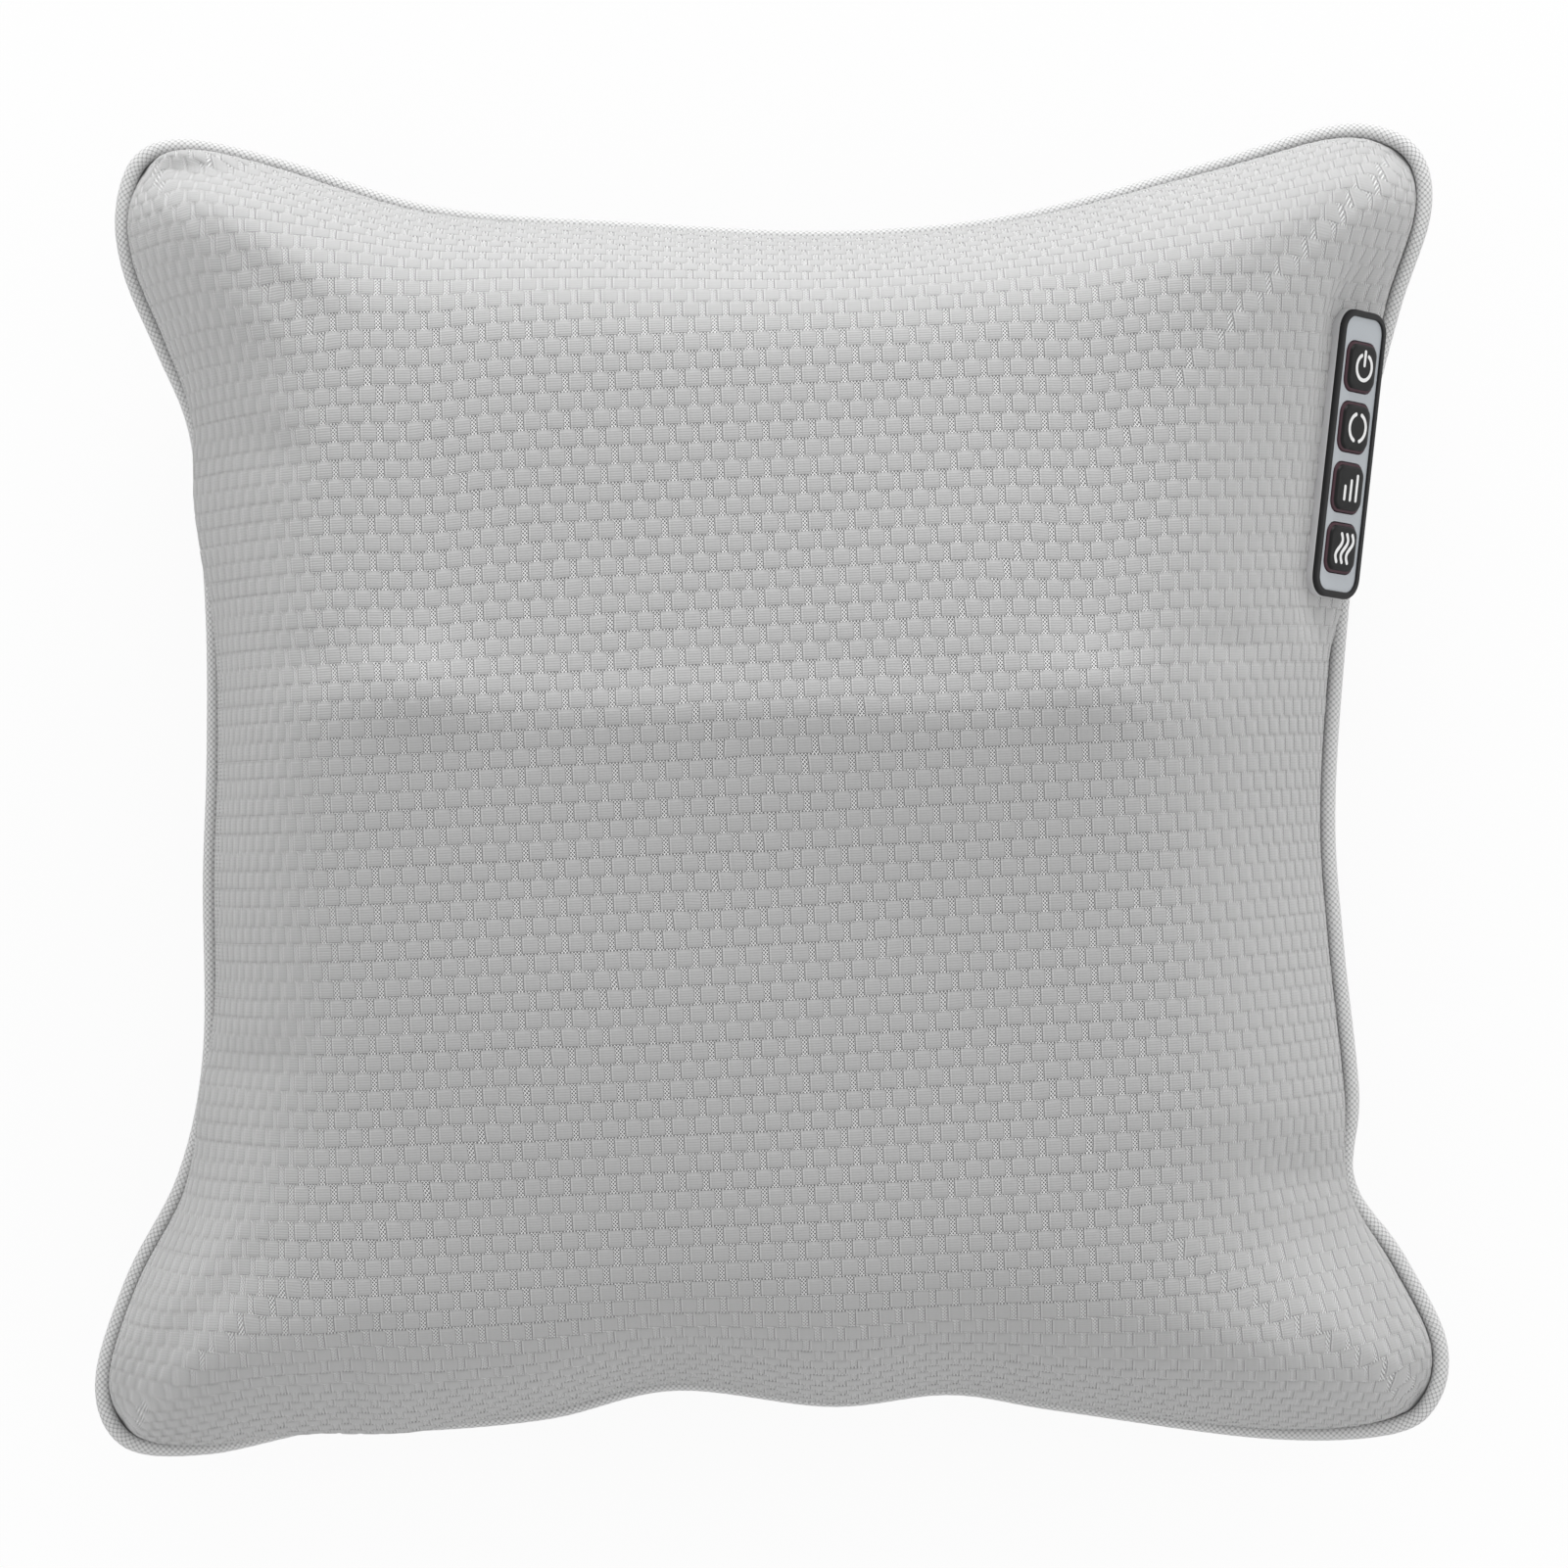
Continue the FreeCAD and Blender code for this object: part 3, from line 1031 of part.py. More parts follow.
def leads():
    """Flat internal cables, each in one upright plane."""
    board_top = size(f"{FLOOR_TOP} + board_post_height + board_thickness")
    half = size("lead_thickness") / 2
    edge = size(f"{BOARD_X} + drive_board_width / 2")
    near = size(f"{BOARD_X} - drive_board_width / 2")
    wall = size("housing_width / 2")
    on_board = board_top + half
    tilt = math.radians(size("pad_tilt"))
    back = size("pad_skirt") + 0.1
    lean = math.tan(math.radians(size("pad_lean"))) * size(f"pad_y - {PAD_LEAD_Y}")
    end_x = size("pad_x") + lean - math.sin(tilt) * back
    end_z = size("pad_z") - math.cos(tilt) * back
    exit_z = size("lead_exit_z")
    pad_route = [(edge - 6, on_board), (edge - 1, on_board), (wall - 6, exit_z), (wall + 9, exit_z),
                 (end_x - 10 * math.sin(tilt), end_z - 10 * math.cos(tilt)), (end_x, end_z)]
    flat_lead("PadLead", "keypad_cable", pad_route, size(PAD_LEAD_Y))
    inlet_z = size("jack_z")
    rear = size(f"{JACK_FACE} - jack_body_length - jack_collar_length")
    inlet_route = [(edge - 6, on_board), (edge - 1, on_board), (wall - 5, inlet_z), (rear, inlet_z)]
    flat_lead("InletLead", "inlet_cable", inlet_route, size("jack_y"))
    motor_y = size(f"{MOTOR_Y} + motor_length + motor_cap_length + lead_width / 2")
    motor_route = [(near + 6, on_board), (near - 2, on_board), (near - 10, 24), (6, 24)]
    flat_lead("MotorLead", "motor_cable", motor_route, motor_y)
    lamp_x = size(LAMP_LEAD_X)
    lamp_top = size(f"{LID_Z} + lid_thickness + board_thickness")
    lamp_route = [(near + 6, on_board), (near - 2, on_board), (near - 8, 20),
                  (lamp_x, 30), (lamp_x, lamp_top)]
    flat_lead("LampLead", "lamp_cable", lamp_route, size(LAMP_Y))


# ---------------------------------------------------------------- control pad

def key_y(number):
    return f"(key_shift + key_pitch * {1.5 - number})"


KEYS = ("power", "direction", "speed", "warmth")
FACE_Z = "(pad_height - face_sink)"
FACE_BACK = f"({FACE_Z} - pad_face)"
BOARD_TOP = f"({FACE_BACK} - key_flange_height - key_travel - dome_height)"


def pad_bezel():
    """Bezel with the dark rim around its face, four key windows and a sunk skirt."""
    body = rounded_block("PadBezel", "pad_width", "pad_length", "pad_corner", "pad_height")
    recess = rounded_block("FaceRecess", "pad_width - 2 * pad_rim", "pad_length - 2 * pad_rim",
                           "pad_corner - pad_rim", "pad_height", FACE_Z)
    skirt = box("PadSkirt", "pad_width - 2 * pad_skirt_inset", "pad_length - 2 * pad_skirt_inset",
                "pad_skirt", ("0", "0"), "0 - pad_skirt")
    hollow = box("PadHollow", "pad_width - 2 * pad_skirt_inset - 2 * pad_wall",
                 "pad_length - 2 * pad_skirt_inset - 2 * pad_wall", f"{FACE_BACK} + 2 * pad_skirt",
                 ("0", "0"), "0 - 2 * pad_skirt")
    windows = [rounded_block(f"KeyWindow{number}", "key_size + 2 * key_gap", "key_size + 2 * key_gap",
                             "key_corner + key_gap", "2 * pad_height", "0", ("0", key_y(number)))
               for number in range(len(KEYS))]
    bezel = cut("PadBezelCut", fuse("PadBezelSolid", body, skirt), recess, hollow, *windows)
    return node(on_pad(bezel), "pad_bezel")


def pad_keys():
    """Four rubber keys, each with a lip behind the face plate that keeps it in."""
    for number, name in enumerate(KEYS):
        middle = ("0", key_y(number))
        cap = rounded_block(f"{name.title()}Cap", "key_size", "key_size", "key_corner",
                            "pad_face + key_proud + key_flange_height",
                            f"{FACE_BACK} - key_flange_height", middle)
        lip = box(f"{name.title()}Lip", "key_size + 2 * key_flange", "key_size + 2 * key_flange",
                  "key_flange_height", middle, f"{FACE_BACK} - key_flange_height")
        node(on_pad(fuse(f"{name.title()}Key", cap, lip)), f"{name}_key")


def pad_board():
    """Key board clipped into the skirt, rubber spring domes on it, and the clamp plate behind the fabric."""
    hollow_width = "pad_width - 2 * pad_skirt_inset - 2 * pad_wall"
    hollow_length = "pad_length - 2 * pad_skirt_inset - 2 * pad_wall"
    plate = box("KeyBoardPlate", f"{hollow_width} - 2 * board_gap", f"{hollow_length} - 2 * board_gap",
                "board_thickness", ("0", "0"), f"{BOARD_TOP} - board_thickness")
    node(on_pad(group("KeyBoard", plate)), "key_board")
    domes = [prism(f"Dome{number}", 8, "dome_radius", "dome_height", ("0", key_y(number), BOARD_TOP))
             for number in range(len(KEYS))]
    node(on_pad(group("KeyDomes", *domes)), "key_domes")
    frame = box("ClampPlate", "clamp_width", "clamp_length", "clamp_thickness", ("0", "0"), "0 - pad_skirt")
    opening = box("ClampOpening", "pad_width - 2 * pad_skirt_inset", "pad_length - 2 * pad_skirt_inset",
                  "3 * clamp_thickness", ("0", "0"), "0 - pad_skirt - clamp_thickness")
    node(on_pad(cut("PadClamp", frame, opening)), "pad_clamp_frame")


# ---------------------------------------------------------------- power inlet

def inlet():
    """Barrel socket in the side of the back cover, with its centre pin and ring nut."""
    collar_x = f"({JACK_FACE} - jack_collar_length)"
    bore_x = f"{JACK_FACE} - jack_bore_depth"
    collar = cylinder("InletCollar", "jack_collar_radius", "jack_collar_length",
                      (collar_x, "jack_y", "jack_z"), "x")
    body = cylinder("InletBody", "jack_body_radius", "jack_body_length",
                    (f"{collar_x} - jack_body_length", "jack_y", "jack_z"), "x")
    bore = cylinder("InletBore", "jack_bore_radius", "2 * jack_bore_depth", (bore_x, "jack_y", "jack_z"), "x")
    node(cut("PowerInlet", fuse("InletSolid", collar, body), bore), "power_inlet")
    pin = prism("InletPin", 8, "jack_pin_radius", "jack_pin_length", (bore_x, "jack_y", "jack_z"), "x")
    node(pin, "inlet_centre_pin")
    ring = prism("InletNutBody", 6, "jack_nut_radius", "jack_nut_length",
                 (f"{collar_x} - jack_nut_length", "jack_y", "jack_z"), "x")
    hole = cylinder("InletNutHole", "jack_body_radius", "cut_through",
                    (f"{JACK_FACE} - cut_through", "jack_y", "jack_z"), "x")
    node(cut("InletNut", ring, hole), "inlet_ring_nut")


# ---------------------------------------------------------------- build

front_cover()
back_cover()
seam_piping()
foam_surround()
back_foam()
zip_parts()
base_housing()
lid()
case_screws()
gear_train()
shafts_and_bushes()
motor()
rotor("left", "-")
rotor("right", "+")
electrics()
leads()
pad_bezel()
pad_keys()
pad_board()
inlet()

doc.recompute()
for obj in doc.Objects:
    if "Invalid" in obj.State or "Error" in obj.State:
        raise RuntimeError(f"{obj.Name} did not compute: {obj.State}")
for obj in NODES:
    if obj.Shape.isNull() or not obj.Shape.isValid():
        raise RuntimeError(f"{obj.Label} has no sound shape")
for obj in NODES:
    obj.Shape.exportStep(f"parts/{obj.Label}.step")
    print(f"{obj.Label:24s} {len(obj.Shape.Solids):2d} solids {obj.Shape.Volume / 1000:9.2f} cm3")
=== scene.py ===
import math

import bmesh
import bpy
import numpy as np
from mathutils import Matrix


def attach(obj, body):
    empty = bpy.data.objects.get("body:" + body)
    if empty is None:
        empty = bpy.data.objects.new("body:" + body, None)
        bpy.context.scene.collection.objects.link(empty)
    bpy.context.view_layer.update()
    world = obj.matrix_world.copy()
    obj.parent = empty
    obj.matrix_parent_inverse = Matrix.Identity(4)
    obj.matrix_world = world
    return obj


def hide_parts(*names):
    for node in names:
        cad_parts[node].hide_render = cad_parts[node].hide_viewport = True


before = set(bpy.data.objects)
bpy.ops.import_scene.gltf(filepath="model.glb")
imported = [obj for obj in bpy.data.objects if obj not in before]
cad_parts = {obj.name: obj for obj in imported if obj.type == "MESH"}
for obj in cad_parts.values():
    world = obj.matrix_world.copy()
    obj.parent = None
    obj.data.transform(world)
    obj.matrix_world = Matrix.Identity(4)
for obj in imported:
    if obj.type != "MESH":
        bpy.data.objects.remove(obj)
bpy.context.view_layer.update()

# ------------------------------------------------------------------ studio
# A white table under three soft lamps and a pale room. The strong lamp stands beyond the top edge of
# the cushion, so that the crown shades downwards. The table looks white and keeps a faint shadow.


class Strand:
    """A value that runs through a finish: arithmetic on it adds Math nodes to the same tree."""

    def __init__(self, tree, socket=None):
        self.tree = tree
        self.socket = socket

    def node(self, kind, settings=None, values=None, output=0):
        """Any node: its settings, a ramp's stops among them, then the values or links of its sockets."""
        made = self.tree.nodes.new(kind)
        for name, value in (settings or {}).items():
            if name == "stops":
                stops = made.color_ramp.elements
                while len(stops) < len(value):
                    stops.new(0.5)
                for stop, (spot, shade) in zip(stops, value):
                    stop.position = spot
                    stop.color = (*shade, 1)
            else:
                setattr(made, name, value)
        for key, value in (values or {}).items():
            if isinstance(value, Strand):
                self.tree.links.new(value.socket, made.inputs[key])
            else:
                made.inputs[key].default_value = value
        return Strand(self.tree, made.outputs[output] if len(made.outputs) else None)

    def math(self, operation, *others):
        """A Math node that takes this first and then the others."""
        return self.node("ShaderNodeMath", {"operation": operation}, dict(enumerate((self, *others))))

    def __add__(self, other):
        return self.math("ADD", other)

    def __sub__(self, other):
        return self.math("SUBTRACT", other)

    def __rsub__(self, other):
        return self.node("ShaderNodeMath", {"operation": "SUBTRACT"}, {0: other, 1: self})

    def __mul__(self, other):
        return self.math("MULTIPLY", other)

    def __pow__(self, other):
        return self.math("POWER", other)

    def __abs__(self):
        return self.math("ABSOLUTE")

    __radd__ = __add__
    __rmul__ = __mul__

    def above(self, low, high):
        """0 below low, 1 above high, smooth between."""
        return self.node("ShaderNodeMapRange", {"interpolation_type": "SMOOTHSTEP"},
                         {"Value": self, "From Min": low, "From Max": high})

    def blend(self, first, second):
        """The colour first where this is 0, second where it is 1."""
        return self.node("ShaderNodeMix", {"data_type": "RGBA"}, {0: self, 6: first, 7: second}, 2)

    def noise(self, place, scale, detail=2.0, roughness=0.5):
        """Cloudy noise from 0 to 1, scale clouds to a metre."""
        return self.node("ShaderNodeTexNoise", None, {"Vector": place, "Scale": scale, "Detail": detail,
                                                      "Roughness": roughness}, "Fac")

    def bump(self, depth, strength):
        """A normal from this as a height; depth is how far one unit of it stands out, in metres."""
        return self.node("ShaderNodeBump", None, {"Height": self, "Distance": depth, "Strength": strength})


def new_finish(name):
    """An empty material and the start of its tree."""
    material = bpy.data.materials.new(name)
    material.use_nodes = True
    material.node_tree.nodes.clear()
    return material, Strand(material.node_tree)


def set_surface(start, shader):
    start.node("ShaderNodeOutputMaterial", None, {"Surface": shader})


def grey(shade):
    return shade, shade, shade, 1


def part_of(colour, share=1.0):
    return (*(share * c for c in colour), 1)


white_share = 0.93
table_white, start = new_finish("table_white")
paper = start.node("ShaderNodeBsdfDiffuse", None, {"Color": grey(0.86)}, "BSDF")
glow = start.node("ShaderNodeEmission", None, {"Color": grey(1), "Strength": 1.0}, "Emission")
ray = start.node("ShaderNodeLightPath", None, None, "Is Camera Ray")
set_surface(start, start.node("ShaderNodeMixShader", None, {0: ray * white_share, 1: paper, 2: glow}))

table_width, table_drop = 8.0, 0.0006
bpy.ops.mesh.primitive_plane_add(size=table_width, location=(0, 0, -table_drop))
table = bpy.context.object
table.name = "table"
table.data.materials.append(table_white)

world = bpy.data.worlds.new("studio")
bpy.context.scene.world = world
world.use_nodes = True
world.node_tree.nodes.clear()
sky = Strand(world.node_tree)
room_light = 0.75
soft = sky.node("ShaderNodeBackground", None, {"Color": grey(1), "Strength": room_light}, "Background")
white = sky.node("ShaderNodeBackground", None, {"Color": grey(1), "Strength": 1.0}, "Background")
direct, glossy, through = (sky.node("ShaderNodeLightPath", None, None, name)
                           for name in ("Is Camera Ray", "Is Glossy Ray", "Is Transmission Ray"))
seen = direct.math("MAXIMUM", glossy.math("MAXIMUM", through))
lit = sky.node("ShaderNodeMixShader", None, {0: seen, 1: soft, 2: white})
sky.node("ShaderNodeOutputWorld", None, {"Surface": lit})

lamp_width = 0.8
lamp_target = np.array((0, 0, 0.05))
for name, spot, power in (("top_lamp", (0.1, 1.5, 0.47), 16.8),
                          ("left_lamp", (-1.5, 0.2, 0.6), 2.4),
                          ("right_lamp", (1.5, -0.1, 0.6), 3.2)):
    lamp = bpy.data.lights.new(name, "AREA")
    lamp.shape = "SQUARE"
    lamp.size = lamp_width
    lamp.energy = power
    holder = bpy.data.objects.new(name, lamp)
    holder.location = spot
    aim = lamp_target - np.array(spot)
    yaw = math.atan2(aim[1], aim[0])
    drop = math.acos(-aim[2] / np.linalg.norm(aim))
    holder.rotation_euler = (drop, 0, yaw - math.pi / 2)
    bpy.context.collection.objects.link(holder)

camera = bpy.data.objects.new("camera", bpy.data.cameras.new("camera"))
view_height = 1.6
view_width = 0.3945
seam_height = 0.040
camera.location = (0.0033, 0.0017, view_height)
camera.data.sensor_width = 36.0
camera.data.lens = camera.data.sensor_width * (view_height - seam_height) / view_width
bpy.context.collection.objects.link(camera)
bpy.context.scene.camera = camera
bpy.context.scene.view_settings.view_transform = "Standard"

# ------------------------------------------------------------------ drive housing
# Base shell and lid of moulded off-white ABS with a fine spark-eroded grain, held by four screws.
# They close over the gears and the motor, and lie inside the foam.


def place_of(start):
    return start.node("ShaderNodeTexCoord", None, None, "Object")


def principled(start, values):
    set_surface(start, start.node("ShaderNodeBsdfPrincipled", None, values, "BSDF"))


def moulded(name, colour, roughness, grain=1400.0, depth=0.00003, coat=0.0, gloss=0.5):
    """Moulded plastic: slight cloudiness in the colour, and a fine grain."""
    material, start = new_finish(name)
    place = place_of(start)
    cloud = start.noise(place, 60.0, 3.0)
    fine = start.noise(place, grain, 1.0)
    uneven = 0.12
    principled(start, {"Base Color": cloud.blend(part_of(colour, 0.9), part_of(colour)),
                       "Roughness": cloud * uneven + (roughness - uneven / 2),
                       "Coat Weight": coat,
                       "Specular IOR Level": gloss,
                       "Normal": fine.bump(depth, 0.6)})
    return material


def dress(material, *nodes):
    """Gives nodes of the model a finish."""
    for name in nodes:
        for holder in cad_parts[name].material_slots:
            holder.material = material


dress(moulded("housing_abs", (0.70, 0.70, 0.68), 0.5), "base_housing", "drive_lid")


def bare_metal(name, colour, roughness, stretch=(1, 1, 1), marks=900.0):
    """Bare metal with turning or rolling marks drawn out along one axis."""
    material, start = new_finish(name)
    place = place_of(start)
    drawn_out = start.node("ShaderNodeVectorMath", {"operation": "MULTIPLY"}, {0: place, 1: stretch})
    lines = start.noise(drawn_out, marks, 4.0, 0.6)
    stain = start.noise(place, 90.0, 3.0)
    principled(start, {"Base Color": stain.blend(part_of(colour, 0.75), part_of(colour)),
                       "Metallic": 1.0,
                       "Roughness": lines * 0.25 + (roughness - 0.1),
                       "Normal": lines.bump(0.00002, 0.5)})
    return material


bright_steel = bare_metal("bright_steel", (0.62, 0.62, 0.63), 0.3, (1, 1, 0.05))
dress(bright_steel, "case_screws", "left_rotor_screw", "right_rotor_screw", "idler_pins",
      "left_output_shaft", "right_output_shaft")

# ------------------------------------------------------------------ gears, shafts and motor
# Worm and motor shaft are turned steel, the wheels and gears moulded cream acetal that run greased,
# the bushes sintered bronze. The motor is a rolled steel can with a black nylon end cap.

gear_acetal, start = new_finish("gear_acetal")
place = place_of(start)
grease = start.noise(place, 120.0, 3.0).above(0.5, 0.62)
principled(start, {"Base Color": grease.blend((0.82, 0.79, 0.70, 1), (0.74, 0.68, 0.50, 1)),
                   "Roughness": 0.45 - grease * 0.25,
                   "Normal": start.noise(place, 700.0).bump(0.00002, 0.5)})
dress(gear_acetal, "left_worm_wheel", "right_worm_wheel", "left_output_gear", "right_output_gear")
dress(bare_metal("turned_steel", (0.55, 0.55, 0.57), 0.28, (1, 0.05, 1)), "worm", "motor_shaft")
dress(bare_metal("sintered_bronze", (0.60, 0.41, 0.20), 0.5, (1, 1, 1), 2500.0),
      "output_bushes", "worm_end_bush")
dress(bare_metal("zinc_plate", (0.60, 0.61, 0.64), 0.38, (1, 0.1, 1), 500.0), "motor_can", "motor_strap")
black_nylon = moulded("black_nylon", (0.028, 0.028, 0.03), 0.5)
dress(black_nylon, "motor_end_cap", "driver_components", "pad_clamp_frame", "inlet_ring_nut")

# ------------------------------------------------------------------ kneading rotors
# Each output shaft carries an arm of glass-filled nylon, held by a screw in the shaft's end. Two
# smooth massage heads of polished ABS sit on the ends of each arm.

dress(moulded("filled_nylon", (0.17, 0.17, 0.19), 0.6, 900.0, 0.00005),
      "left_rotor_arm", "right_rotor_arm")
dress(moulded("head_abs", (0.76, 0.76, 0.74), 0.25, 500.0, 0.00001, 0.4),
      "left_massage_heads", "right_massage_heads")

# ------------------------------------------------------------------ electrics
# Driver, lamp and key boards of green glass-epoxy with tinned tracks, red warming lamps under a clear
# red window, spring domes of milky silicone, and flat cables in black PVC.

board_green, start = new_finish("board_green")
place = place_of(start)
islands = start.node("ShaderNodeTexVoronoi", {"feature": "DISTANCE_TO_EDGE"},
                     {"Vector": place, "Scale": 260.0}, "Distance")
tracks = 1 - islands.above(0.05, 0.09)
principled(start, {"Base Color": tracks.blend((0.012, 0.13, 0.05, 1), (0.04, 0.24, 0.09, 1)),
                   "Roughness": 0.3 + tracks * 0.1,
                   "Normal": tracks.bump(0.00004, 0.7)})
dress(board_green, "driver_board", "lamp_board", "key_board")
dress(moulded("lamp_lens", (0.45, 0.02, 0.02), 0.15, 300.0, 0.00001, 0.8), "heat_lamps")
dress(moulded("silicone_dome", (0.68, 0.68, 0.66), 0.45), "key_domes")

lamp_window, start = new_finish("clear_red_window")
ripple = start.noise(place_of(start), 150.0)
principled(start, {"Base Color": ripple.blend((0.75, 0.10, 0.08, 1), (0.66, 0.06, 0.05, 1)),
                   "Roughness": ripple * 0.1 + 0.05,
                   "Transmission Weight": 0.9,
                   "IOR": 1.49})
dress(lamp_window, "lamp_window")
dress(moulded("cable_pvc", (0.03, 0.03, 0.032), 0.55, 2500.0),
      "keypad_cable", "inlet_cable", "motor_cable", "lamp_cable")

# ------------------------------------------------------------------ foam
# Open-cell polyurethane foam, cut with a room for the drive and a way for the pad's cable, and a
# thin sheet of the same foam behind the housing.

foam_cells, start = new_finish("foam_cells")
pores = start.node("ShaderNodeTexVoronoi", None, {"Vector": place_of(start), "Scale": 900.0}, "Distance")
principled(start, {"Base Color": pores.above(0.1, 0.6).blend((0.42, 0.40, 0.34, 1), (0.72, 0.70, 0.62, 1)),
                   "Roughness": 0.9,
                   "Normal": pores.bump(0.0003, 0.8)})
dress(foam_cells, "foam_surround", "back_foam_sheet")

# ------------------------------------------------------------------ outline of the cushion
# The two covers and the piping meet in one seam. The outline is the piping's outer face seen from
# above, clockwise from the middle of the left side, in millimetres: four lobes, sides that pull in.

MM = 0.001
seam_z = 40.0
outline = [(-142, 7), (-142, 40), (-144, 70), (-147, 92), (-155, 111), (-163, 130), (-165, 146), (-160, 160),
           (-147, 164), (-123, 159), (-84, 147), (-34, 143), (15, 141), (60, 145), (109, 158), (139, 167),
           (154, 167), (164, 160), (166, 145), (158, 120), (150, 86), (145, 40), (142, -5), (144, -38),
           (148, -76), (147, -98), (159, -116), (170, -138), (168, -154), (156, -162), (124, -163),
           (72, -156), (45, -152), (15, -155), (-24, -151), (-55, -158), (-86, -161), (-112, -161),
           (-142, -167), (-163, -165), (-170, -149), (-162, -122), (-149, -96), (-143, -66), (-143, -23)]
lobes = [(-163, 160), (164, 165), (170, -158), (-170, -164)]


def even_loop(points, step):
    """A smooth closed line through points, cut into even steps."""
    p = np.array(points, float)
    before, after, beyond = np.roll(p, 1, 0), np.roll(p, -1, 0), np.roll(p, -2, 0)
    fine_cuts = 24
    t = np.linspace(0, 1, fine_cuts, endpoint=False)[:, None, None]
    line = 0.5 * (2 * p + (after - before) * t + (2 * before - 5 * p + 4 * after - beyond) * t ** 2
                  + (3 * p - before - 3 * after + beyond) * t ** 3)
    line = line.transpose(1, 0, 2).reshape(-1, 2)
    line = np.vstack([line, line[:1]])
    run = np.concatenate([[0], np.cumsum(np.linalg.norm(np.diff(line, axis=0), axis=1))])
    at = np.linspace(0, run[-1], round(run[-1] / step), endpoint=False)
    return np.stack([np.interp(at, run, line[:, k]) for k in (0, 1)], 1)


def outward_of(loop):
    """Unit normals of a clockwise loop, pointing out, slightly evened."""
    along = np.roll(loop, -2, 0) - np.roll(loop, 2, 0)
    out = np.stack([-along[:, 1], along[:, 0]], 1)
    return out / np.linalg.norm(out, axis=1)[:, None]


piping_radius = 2.1
seam_gap = 0.1
outer_line = even_loop(outline, 2.0)
piping_line = outer_line - outward_of(outer_line) * piping_radius
seam_line = outer_line - outward_of(outer_line) * (2 * piping_radius + seam_gap)


def gap_to(points, line):
    """Distance from each point to an open line."""
    best = np.full(len(points), 1e9)
    for a, b in zip(line[:-1], line[1:]):
        run = b - a
        t = ((points - a) @ run / (run @ run)).clip(0, 1)
        best = np.minimum(best, ((points - a - t[:, None] * run) ** 2).sum(1))
    return np.sqrt(best)


def is_inside(points, loop):
    """Which points lie inside a closed loop: a level line from them crosses it an odd number of times."""
    odd = np.zeros(len(points), bool)
    for (ax, ay), (bx, by) in zip(loop, np.roll(loop, -1, 0)):
        if ay != by:
            spans = (points[:, 1] > min(ay, by)) & (points[:, 1] <= max(ay, by))
            odd ^= spans & (points[:, 0] < ax + (points[:, 1] - ay) * (bx - ax) / (by - ay))
    return odd


grid_step, half_plan_x, half_plan_y = 1.25, 180, 178
xs = np.arange(-half_plan_x, half_plan_x + 0.1, grid_step)
ys = np.arange(-half_plan_y, half_plan_y + 0.1, grid_step)
plan_x, plan_y = np.meshgrid(xs, ys)
plan = np.stack([plan_x.ravel(), plan_y.ravel()], 1)
turns = [int(np.argmin(((seam_line - lobe) ** 2).sum(1))) for lobe in lobes]
ring = np.roll(seam_line, -turns[0], 0)
turns = [(t - turns[0]) % len(ring) for t in turns] + [len(ring)]
ring = np.vstack([ring, ring[:1]])
top_gap, right_gap, bottom_gap, left_gap = (gap_to(plan, ring[a:b + 1]) for a, b in zip(turns, turns[1:]))
seam_gap_map = np.minimum(np.minimum(top_gap, right_gap), np.minimum(bottom_gap, left_gap))
inside = is_inside(plan, seam_line)
depth_in = np.where(inside, seam_gap_map, -seam_gap_map).reshape(plan_x.shape)
out_y, out_x = np.gradient(-depth_in, grid_step)


def rise_share(*sides):
    """Share of the full height, from 0 at the seam; each side has its reach inwards and its fullness.
    A side given as None leaves the height alone, also beyond its own stretch of the seam."""
    share = np.ones(len(plan))
    gone = np.zeros(len(plan), bool)
    for gap, side in zip((top_gap, right_gap, bottom_gap, left_gap), sides):
        if side:
            reach, fullness = side
            share *= 1 - (1 - gap / reach).clip(0) ** fullness
            gone |= ~inside & (gap <= seam_gap_map)
    return np.where(gone, 0.0, share).reshape(plan_x.shape)


def hump(x, y, wide, high):
    """A soft mound of height 1 over a place of the plan."""
    return np.exp(-((plan_x - x) / wide) ** 2 - ((plan_y - y) / high) ** 2)


def soft_abs(value, soft):
    """The size of a value, with its corner at 0 rounded."""
    return np.sqrt(value ** 2 + soft ** 2) - soft


def grid_place(value, line):
    """The last line of the plan's grid before a value, and the share of the way to the next line."""
    spot = ((value - line[0]) / grid_step).clip(0, len(line) - 1.001)
    before = spot.astype(int)
    return before, spot - before


def sample(field, x, y):
    """A field of the plan read between its points."""
    i, a = grid_place(x, xs)
    j, b = grid_place(y, ys)
    return ((field[j, i] * (1 - a) + field[j, i + 1] * a) * (1 - b)
            + (field[j + 1, i] * (1 - a) + field[j + 1, i + 1] * a) * b)


def sample_all(points, x, y):
    return np.stack([sample(points[..., k], x, y) for k in range(3)], -1)


